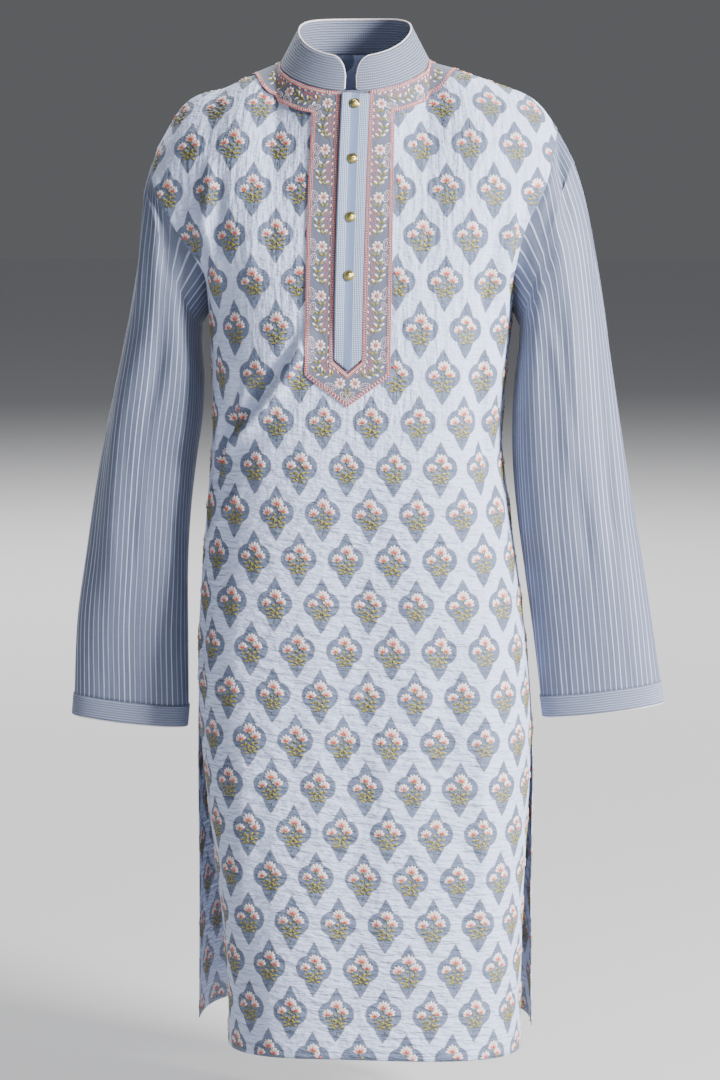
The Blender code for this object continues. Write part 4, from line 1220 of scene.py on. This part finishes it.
class Finish:
    """One material, with a method for each way its nodes are made."""

    def __init__(self, name, roughness, **steady):
        self.material = bpy.data.materials.new(name)
        self.material.use_nodes = True
        self.tree = self.material.node_tree
        self.shader = self.tree.nodes["Principled BSDF"]
        self.feed(self.shader.inputs["Roughness"], roughness)
        for socket, value in steady.items():
            self.feed(self.shader.inputs[socket.replace("_", " ")], value)

    def feed(self, socket, value):
        """Set a socket, or link a Value to it."""
        if isinstance(value, Value):
            self.tree.links.new(value.socket, socket)
        elif isinstance(value, tuple) and socket.type == "RGBA":
            socket.default_value = (*value, 1)
        else:
            socket.default_value = value

    def node(self, kind, settings, sockets, out=0):
        """Add any node, with its settings first and then its sockets."""
        made = self.tree.nodes.new(kind)
        for name, value in settings.items():
            setattr(made, name, value)
        for name, value in sockets.items():
            self.feed(made.inputs[name], value)
        return Value(self, made.outputs[out])

    def maths(self, operation, *values, clamp=False):
        """A Math node on values and numbers."""
        return self.node("ShaderNodeMath", {"operation": operation, "use_clamp": clamp},
                         dict(enumerate(values)))

    def step(self, low, high, value):
        """0 below low, 1 above high and smooth between; high may be the lower one."""
        if low > high:
            return 1 - self.step(high, low, value)
        return self.node("ShaderNodeMapRange", {"interpolation_type": "SMOOTHSTEP"},
                         {"Value": value, "From Min": low, "From Max": high})

    def wrap(self, value, pitch):
        """Distance to the nearest multiple of the pitch, with its sign."""
        return self.maths("WRAP", value, pitch / 2, -pitch / 2)

    def larger(self, first, second):
        """The larger of two values."""
        return self.maths("MAXIMUM", first, second)

    def mix(self, first, second, factor):
        """A colour from the first at factor 0 to the second at 1."""
        return self.node("ShaderNodeMix", {"data_type": "RGBA"}, {0: factor, 6: first, 7: second}, 2)

    def cut(self):
        """Flat places a and b of the cloth, in metres."""
        place = self.node("ShaderNodeUVMap", {"uv_map": "cut"}, {})
        apart = {"Vector": place}
        return (self.node("ShaderNodeSeparateXYZ", {}, apart, 0),
                self.node("ShaderNodeSeparateXYZ", {}, apart, 1))

    def noise(self, a, b, across, along, detail=2.0, seed=0.0):
        """Noise from 0 to 1 with its own grain size, in metres, across and along the cloth."""
        place = self.node("ShaderNodeCombineXYZ", {}, {"X": a / across, "Y": b / along, "Z": seed})
        return self.node("ShaderNodeTexNoise", {}, {"Vector": place, "Scale": 1.0, "Detail": detail})

    def solid_noise(self, size, detail=2.0):
        """Noise through space, for pieces without a flat cut."""
        place = self.node("ShaderNodeTexCoord", {}, {}, 3)
        return self.node("ShaderNodeTexNoise", {}, {"Vector": place, "Scale": 1 / size, "Detail": detail})

    def wave(self, value, pitch):
        """A wave from -1 to 1 along a flat place."""
        return self.maths("SINE", value * (2 * math.pi / pitch))

    def paint(self, colour):
        """Give the shader its colour."""
        self.feed(self.shader.inputs["Base Color"], colour)

    def relief(self, height):
        """Bump whose height is in metres."""
        bump = self.node("ShaderNodeBump", {}, {"Strength": 1.0, "Distance": 1.0, "Height": height})
        self.feed(self.shader.inputs["Normal"], bump)


def weave(finish, a, b):
    """Height of a plain weave: threads over and under, -1 to 1."""
    return finish.wave(a, WEAVE_PITCH) * finish.wave(b, WEAVE_PITCH)


def frame_point(finish, up, start, length, half_width, taper):
    """Half width of a printed frame's tapering point, and 0 where up is negative."""
    way = finish.maths("MULTIPLY", up - start, 1 / length, clamp=True)
    return (1 - way ** taper) * finish.maths("GREATER_THAN", up, 0.0) * half_width


def ogee(finish, a, b, shifted):
    """How far a flat place lies inside the nearest printed frame, in metres, negative outside."""
    x = abs(finish.wrap(a - (PRINT_PITCH / 2 if shifted else 0.0), PRINT_PITCH))
    y = finish.wrap(b - (PRINT_START if shifted else PRINT_START + PRINT_DROP / 2), PRINT_DROP)
    height = abs(y)
    inside_lobe = finish.larger(LOBE_RADIUS ** 2 - height * height, 0.0)
    lobe = (finish.maths("SQRT", inside_lobe) + LOBE_OUT) * finish.maths("LESS_THAN", height, LOBE_RADIUS)
    top = frame_point(finish, y, *FRAME_TOP)
    foot = frame_point(finish, -1 * y, *FRAME_FOOT)
    width = finish.larger(lobe, finish.larger(top, foot))
    return width - x - finish.maths("LESS_THAN", width, 0.0001) * 0.01


def printed_finish(name, strength, opened=False):
    """White puckered cotton with a lattice of blue-grey ogee frames; the opened panel is plain where
    its neck opening lies under the placket."""
    made = Finish(name, 0.82, Sheen_Weight=0.12, Sheen_Roughness=0.5)
    a, b = made.cut()
    drift = (made.noise(a, b, 0.006, 0.006) - 0.5) * 0.0016
    inside = made.larger(ogee(made, a + drift, b, True), ogee(made, a + drift, b, False))
    frame_mask = made.step(-0.0003, 0.0004, inside)
    rim = made.step(-0.0016, -0.0006, inside) * (1 - frame_mask)
    slub = made.noise(a, b, 0.0009, 0.022, 3.0)
    cross_slub = made.noise(a, b, 0.016, 0.0011, 3.0, 4.0)
    cloudy = made.noise(a, b, 0.03, 0.03, 2.0, 9.0)
    ground = made.mix(WHITE_CLOTH, WHITE_SHADE, (slub + cross_slub) * 0.9 - 0.55)
    printed = made.mix(PRINT_GREY, PRINT_DEEP, (slub + cross_slub + cloudy) * 1.1 - 1.15)
    colour = made.mix(ground, PRINT_RIM, rim * 0.5)
    colour = made.mix(colour, printed, frame_mask * strength)
    if opened:
        under_placket = made.step(*OPENING_SIDE, abs(a)) * made.step(*OPENING_FOOT, b)
        colour = made.mix(colour, PANEL_GREY, under_placket)
    made.paint(colour)
    skirt = made.step(-0.30, -0.48, b)
    pucker = made.noise(a, b, 0.020, 0.0060, 2.5, 2.0) * (0.35 + skirt * 0.65)
    lengthways = made.noise(a, b, 0.0060, 0.03, 2.0, 5.0) * (1 - skirt)
    fine = made.noise(a, b, 0.006, 0.0020, 2.0, 7.0)
    made.relief(pucker * 0.0068 + lengthways * 0.0030 + fine * 0.0014 + weave(made, a, b) * 0.00004)
    return made.material


def striped_finish():
    """Blue-grey chambray with fine raised white lines along the sleeve; their brightness changes in groups
    across it, painted sheen of satin lines that catch the light in some places and not others.
    """
    made = Finish("striped_cloth", 0.62, Sheen_Weight=0.25, Sheen_Roughness=0.35)
    a, b = made.cut()
    sway = (made.noise(a, b, 0.02, 0.12) - 0.5) * 0.0016
    away = abs(made.wrap(a + sway, STRIPE_PITCH))
    number = made.maths("ROUND", (a + sway) / STRIPE_PITCH)
    group = made.node("ShaderNodeTexNoise", {"noise_dimensions": "1D"}, {"W": number * 0.37, "Scale": 1.0})
    # Painted sheen: stripes brighter in some groups and fainter in others.
    painted_stripe_sheen = made.step(0.34, 0.60, group) * 0.72 + 0.28
    line = made.step(0.00080, 0.00025, away)
    streak = made.noise(a, b, 0.0008, 0.05, 3.0)
    cross = made.noise(a, b, 0.02, 0.0009, 2.0, 5.0)
    ground = made.mix(CHAMBRAY, CHAMBRAY_DEEP, (streak + cross) * 1.0 - 0.6)
    made.paint(made.mix(ground, STRIPE_WHITE, line * painted_stripe_sheen))
    soft = made.noise(a, b, 0.012, 0.10, 2.0, 3.0)
    made.relief(line * 0.00035 + soft * 0.0016 + streak * 0.00012 + weave(made, a, b) * 0.00003)
    return made.material


def band_finish(name, colour):
    """Collar and cuff cloth, quilted by close rows of stitching along the band, with painted shade in the
    grooves and a painted highlight on the ridges between them.
    """
    made = Finish(name, 0.70, Sheen_Weight=0.15, Sheen_Roughness=0.4)
    a, b = made.cut()
    row = made.wrap(b - 0.0009, COLLAR_ROW_PITCH)
    groove = made.step(0.0007, 0.0001, abs(row))
    stitch = made.step(0.30, 0.55, made.wave(a, 0.0021) * 0.5 + 0.5)
    thread = groove * stitch
    streak = made.noise(a, b, 0.03, 0.0009, 3.0)
    ground = made.mix(colour, CHAMBRAY_DEEP, streak * 1.2 - 0.25)
    # Painted shade in the stitched grooves, then a painted highlight on the ridges between them.
    dark = made.mix(ground, SEAM_SHADE, groove * 0.85)
    ridge = made.step(0.0008, 0.0013, abs(row))
    light = made.mix(dark, STRIPE_WHITE, ridge * 0.7)
    made.paint(made.mix(light, STITCH_WHITE, thread * 0.35))
    made.relief(groove * -0.0007 + thread * 0.00030 + weave(made, a, b) * 0.00003)
    return made.material


def placket_finish():
    """Placket cloth with rows of running stitch down both sides of a plain middle; the sunk rows carry
    painted shade.
    """
    made = Finish("placket_cloth", 0.68, Sheen_Weight=0.15, Sheen_Roughness=0.4)
    a, b = made.cut()
    away = abs(a)
    row = made.step(0.00055, 0.00015, abs(made.wrap(away - 0.0049, 0.0018)))
    row = row * made.step(0.0044, 0.0046, away) * made.step(0.0136, 0.0134, away)
    stitch = made.step(0.05, 0.40, made.wave(b, 0.0022) * 0.5 + 0.5)
    thread = row * (stitch * 0.75 + 0.25)
    streak = made.noise(a, b, 0.0008, 0.03, 3.0)
    ground = made.mix(CHAMBRAY_LIGHT, CHAMBRAY, streak * 1.2 - 0.35)
    # Painted shade along the sunk rows of stitching.
    dark = made.mix(ground, SEAM_SHADE, row * 0.7)
    made.paint(made.mix(dark, STITCH_WHITE, thread))
    made.relief(row * -0.0004 + thread * 0.0007 + weave(made, a, b) * 0.00003)
    return made.material


def panel_finish():
    """Plain ground of the neck panels."""
    made = Finish("embroidered_cloth", 0.78, Sheen_Weight=0.12, Sheen_Roughness=0.4)
    grain = made.solid_noise(0.0011, 3.0)
    broad = made.solid_noise(0.012)
    made.paint(made.mix(PANEL_GREY, CHAMBRAY_DEEP, (grain + broad) * 0.9 - 0.55))
    made.relief(grain * 0.0004)
    return made.material


def thread_finish():
    """Silk embroidery thread; every stitch carries its own dye."""
    made = Finish("embroidery_thread", 0.48, Sheen_Weight=0.3, Sheen_Roughness=0.3)
    dyed = made.node("ShaderNodeAttribute", {"attribute_name": "thread"}, {})
    strand = made.solid_noise(0.0006, 2.0)
    made.paint(made.mix(dyed, made.node("ShaderNodeVectorMath", {"operation": "MULTIPLY"},
                                        {0: dyed, 1: (0.72, 0.72, 0.74)}), strand * 1.3 - 0.3))
    made.relief(strand * 0.00025)
    return made.material


def piping_finish():
    """White satin cord with a slanted twist, banded with painted shade along the twist of its strands."""
    made = Finish("white_piping", 0.55, Sheen_Weight=0.2, Sheen_Roughness=0.4)
    a, b = made.cut()
    twist = made.wave(a + b * 0.6, 0.0016)
    # Painted shade banded along the twist.
    made.paint(made.mix(PIPING_WHITE, PIPING_SHADE, twist * 0.3 + 0.35))
    made.relief(twist * 0.00012)
    return made.material


def brass_finish():
    """Aged brass, darker in patches."""
    made = Finish("brass", 0.28, Metallic=1.0)
    tarnish = made.solid_noise(0.0018, 3.0)
    made.paint(made.mix(BRASS, BRASS_DARK, tarnish * 1.4 - 0.5))
    made.feed(made.shader.inputs["Roughness"], tarnish * 0.25 + 0.18)
    made.relief(made.solid_noise(0.0007) * 0.00012)
    return made.material


# ---------------------------------------------------------------- pieces
def piece(name, data, finish, node=None):
    """Put a mesh into the scene as a piece of the garment."""
    made = bpy.data.objects.new(name, data)
    bpy.context.scene.collection.objects.link(made)
    for material in finish if isinstance(finish, (list, tuple)) else (finish,):
        data.materials.append(material)
    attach(made, "root")
    if node:
        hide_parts(node)
    return made


def sewn(cloth, name, node, finish, wall):
    """A cloth piece with its thickness lying inside the surface."""
    made = piece(name, cloth.mesh(name), finish, node)
    solid = made.modifiers.new("wall", "SOLIDIFY")
    solid.thickness = wall
    solid.offset = -1
    solid.use_even_offset = True
    if isinstance(finish, (list, tuple)):
        solid.material_offset = 1
    width, length, area = cloth.size()
    return made


def cord(name, node, points, outward, radius, finish, closed):
    """Round piping through points, built on the outward direction at each."""
    if closed:
        forward = unit(np.roll(points, -1, axis=0) - np.roll(points, 1, axis=0))
    else:
        forward = unit(np.gradient(points, axis=0))
    out = unit(outward - forward * (outward * forward).sum(axis=1, keepdims=True))
    side = np.cross(forward, out)
    turns = np.linspace(0, 2 * math.pi, 9)
    if closed:
        points, out, side = (np.concatenate((v, v[:1])) for v in (points, out, side))
    cos, sin = np.cos(turns)[:, None], np.sin(turns)[:, None]
    rings = points[:, None] + radius * (out[:, None] * cos + side[:, None] * sin)
    flat = np.stack(np.meshgrid(turns * radius, lengths_along(points)), axis=-1)[..., ::-1]
    tube = Cloth(rings, flat, joined=True)
    return piece(name, tube.mesh(name), finish, node)


# Half section of a button, from the rim over a groove to the top of the dome
# columns: radius, height
BUTTON_SECTION = (
    (0.0052, 0.0000), (0.0053, 0.0005), (0.0052, 0.0011), (0.0048, 0.0015),
    (0.0043, 0.0014), (0.0040, 0.0013), (0.0037, 0.0016), (0.0031, 0.0023),
    (0.0024, 0.0028), (0.0016, 0.0031), (0.0008, 0.0033), (0.00005, 0.0033))
FLUTES = 10
FLUTE_DEPTH = 0.00016
FLUTED = (0.0006, 0.0039)     # radii between which the dome is fluted
BUTTON_SINK = 0.0018          # foot of the button below the placket's face


def button(number, tree, finish):
    """A turned brass button: rim, groove and a fluted dome, facing out from the placket."""
    low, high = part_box(f"button_{number}")
    centre = (low + high) / 2
    _, normal, _, _ = tree.ray_cast(Vector((centre.x, -0.3, centre.z)), Vector((0, 1, 0)))
    turns = np.linspace(0, 2 * math.pi, 41)
    section = np.array(BUTTON_SECTION)
    radius, height = section[:, 0:1], section[:, 1:2]
    fluted = (radius < FLUTED[1]) & (radius > FLUTED[0])
    flute = np.where(fluted, FLUTE_DEPTH * np.cos(FLUTES * turns), 0)
    rings = stack(radius * np.cos(turns), radius * np.sin(turns), height + flute)
    turned = normal.to_track_quat("Z", "Y").to_matrix().to_4x4()
    facing = np.array(Matrix.Translation(centre - normal * BUTTON_SINK) @ turned)
    rings = rings @ facing[:3, :3].T + facing[:3, 3]
    flat = np.stack(np.meshgrid(turns * 0.004, section[:, 0]), axis=-1)
    dome = Cloth(rings, flat, joined=True)
    name = f"brass_button_{number}"
    return piece(name, dome.mesh(name), finish, f"button_{number}")


def make_finishes():
    """Every finish of the garment, by the name of what it is for."""
    reverse = printed_finish("printed_cloth_reverse", 0.75)
    return {"front": [printed_finish("printed_cloth_front", 1.0, True), reverse],
            "back": [printed_finish("printed_cloth_back", 1.0), reverse],
            "sleeve": striped_finish(),
            "placket": placket_finish(),
            "collar": band_finish("collar_cloth", CHAMBRAY),
            "cuff": band_finish("cuff_cloth", CHAMBRAY_CUFF),
            "neck_panel": panel_finish(),
            "thread": thread_finish(),
            "piping": piping_finish(),
            "brass": brass_finish()}


def build_body(panels, finishes):
    """Front and back, each with its embroidered sprigs."""
    for name, seed in (("front", 11), ("back", 12)):
        cloth = panels[name]
        work = sprigs_on(cloth, f"{name}_embroidery", finishes["thread"], seed, name == "front")
        sewn(cloth, f"{name}_cloth", name, finishes[name], CLOTH)


def build_neck_panels(panels, finishes):
    """The embroidered panels lying on the front and on the back."""
    for name, shape in (("front", front_neck_cloth), ("back", back_neck_cloth)):
        cloth = shape(panels[name])
        work = neck_needlework(cloth, f"neck_embroidery_{name}", finishes["thread"], name == "front")
        sewn(cloth, f"neck_panel_{name}_cloth", f"neck_panel_{name}", finishes["neck_panel"],
             TRIM)


def build_placket(front, finishes):
    """The placket strip on the front, with its four buttons."""
    cloth = placket_cloth(front)
    sewn(cloth, "placket_strip", "placket", finishes["placket"], TRIM)
    tree = cloth.tree()
    for number in range(1, 5):
        button(number, tree, finishes["brass"])


def build_collar(finishes):
    """The collar band, with piping up one front end, along the top and down the other."""
    end, top = 11, 220
    climb = np.linspace(0, 1, end + 1)[:-1]
    u = np.concatenate((np.zeros(end), np.linspace(0, 1, top), np.ones(end)))
    up = np.concatenate((climb, np.ones(top), climb[::-1]))
    rim, turn = collar_points(u, up), collar_turn(u)
    away = stack(np.sin(turn), -np.cos(turn), 0)
    edge = cord("collar_edge", "collar_piping", rim - away * BAND / 2, away, PIPING_RADIUS,
                finishes["piping"], False)
    sewn(collar_cloth(), "collar_band", "collar", finishes["collar"], BAND)


def build_sleeve(name, table, side, creases, finishes):
    """One sleeve with its cuff band and the piping below that."""
    sewn(sleeve_cloth(table, side, creases), f"sleeve_{name}_cloth", f"sleeve_{name}",
         finishes["sleeve"], CLOTH)
    turns = np.linspace(0, 1, ARM_CELLS + 1)[:-1]
    down = np.full(turns.shape, CUFF_HEIGHT + 0.0010)
    rim, outer = cuff_points(table, turns, down), cuff_points(table, turns, down, 0.001)
    edge = cord(f"cuff_{name}_edge", f"cuff_piping_{name}", rim, outer - rim, PIPING_RADIUS,
                finishes["piping"], True)
    sewn(cuff_cloth(table, side), f"cuff_{name}_band", f"cuff_{name}", finishes["cuff"],
         BAND)


def build_garment():
    """Every piece, from the body outwards."""
    finishes = make_finishes()
    panels = {"front": body_cloth(False), "back": body_cloth(True)}
    build_body(panels, finishes)
    build_neck_panels(panels, finishes)
    build_placket(panels["front"], finishes)
    build_collar(finishes)
    build_sleeve("left", SLEEVE_LEFT, 1, LEFT_SLEEVE_CREASES, finishes)
    build_sleeve("right", SLEEVE_RIGHT, -1, RIGHT_SLEEVE_CREASES, finishes)


# ---------------------------------------------------------------- studio
FLOOR_REACH = 60.0
FLOOR_DROP = 0.10             # floor below the hem
FLOOR_NEAR = (0.46, 0.46, 0.47)
FLOOR_FAR = (0.96, 0.96, 0.98)
FLOOR_TURN = (1.5, 6.0)       # distances between which it turns from near to far
WORLD_COLOUR = (0.92, 0.95, 1.0)
WORLD_STRENGTH = 0.12
LIGHTS_AIM = (0, 0, -0.45)
# columns: name, place, size, power, colour
LIGHTS = (
    ("key", (3.05, -1.70, 0.9), 1.0, 552, (1.0, 0.985, 0.96)),
    ("fill", (-1.4, -3.1, 0.4), 1.8, 26, (0.94, 0.97, 1.0)),
    ("back", (-1.0, 3.0, 4.2), 3.0, 560, (1.0, 1.0, 1.0)),
)
CAMERA_TURN = math.radians(4)
CAMERA_TILT = math.radians(7.5)
CAMERA_DISTANCE = 2.6
CAMERA_Z = -0.15
CAMERA_LENS = 81


def build_floor():
    """A pale floor below the garment, lighter in the distance."""
    floor = bpy.data.meshes.new("floor")
    reach, z = FLOOR_REACH, cad_box[0].z - FLOOR_DROP
    floor.from_pydata([(-reach, -reach, z), (reach, -reach, z), (reach, reach, z), (-reach, reach, z)],
                      [], [(0, 1, 2, 3)])
    ground = bpy.data.objects.new("floor", floor)
    bpy.context.scene.collection.objects.link(ground)
    made = Finish("studio_floor", 0.9)
    place = made.node("ShaderNodeTexCoord", {}, {}, 3)
    away = made.node("ShaderNodeVectorMath", {"operation": "LENGTH"}, {0: place}, 1)
    made.paint(made.mix(FLOOR_NEAR, FLOOR_FAR, made.step(*FLOOR_TURN, away)))
    floor.materials.append(made.material)


def build_lights():
    """The surrounding light and three soft lamps."""
    world = bpy.data.worlds.new("studio")
    bpy.context.scene.world = world
    world.use_nodes = True
    around = world.node_tree.nodes["Background"]
    around.inputs["Color"].default_value = (*WORLD_COLOUR, 1)
    around.inputs["Strength"].default_value = WORLD_STRENGTH
    for name, place, size, power, colour in LIGHTS:
        lamp = bpy.data.lights.new(name, "AREA")
        lamp.size, lamp.energy, lamp.color = size, power, colour
        stand = bpy.data.objects.new(name, lamp)
        stand.location = place
        aim = Vector(LIGHTS_AIM) - Vector(place)
        stand.rotation_euler = aim.to_track_quat("-Z", "Y").to_euler()
        bpy.context.scene.collection.objects.link(stand)


def build_camera():
    """A camera a little to the garment's left, tilted down at it."""
    lens = bpy.data.cameras.new("camera")
    lens.sensor_fit, lens.sensor_height, lens.lens = "VERTICAL", 36, CAMERA_LENS
    camera = bpy.data.objects.new("camera", lens)
    over, back = math.sin(CAMERA_TURN), -math.cos(CAMERA_TURN)
    camera.location = (CAMERA_DISTANCE * over, CAMERA_DISTANCE * back, CAMERA_Z)
    camera.rotation_euler = (math.pi / 2 - CAMERA_TILT, 0, CAMERA_TURN)
    bpy.context.scene.collection.objects.link(camera)
    bpy.context.scene.camera = camera


build_garment()
build_floor()
build_lights()
build_camera()
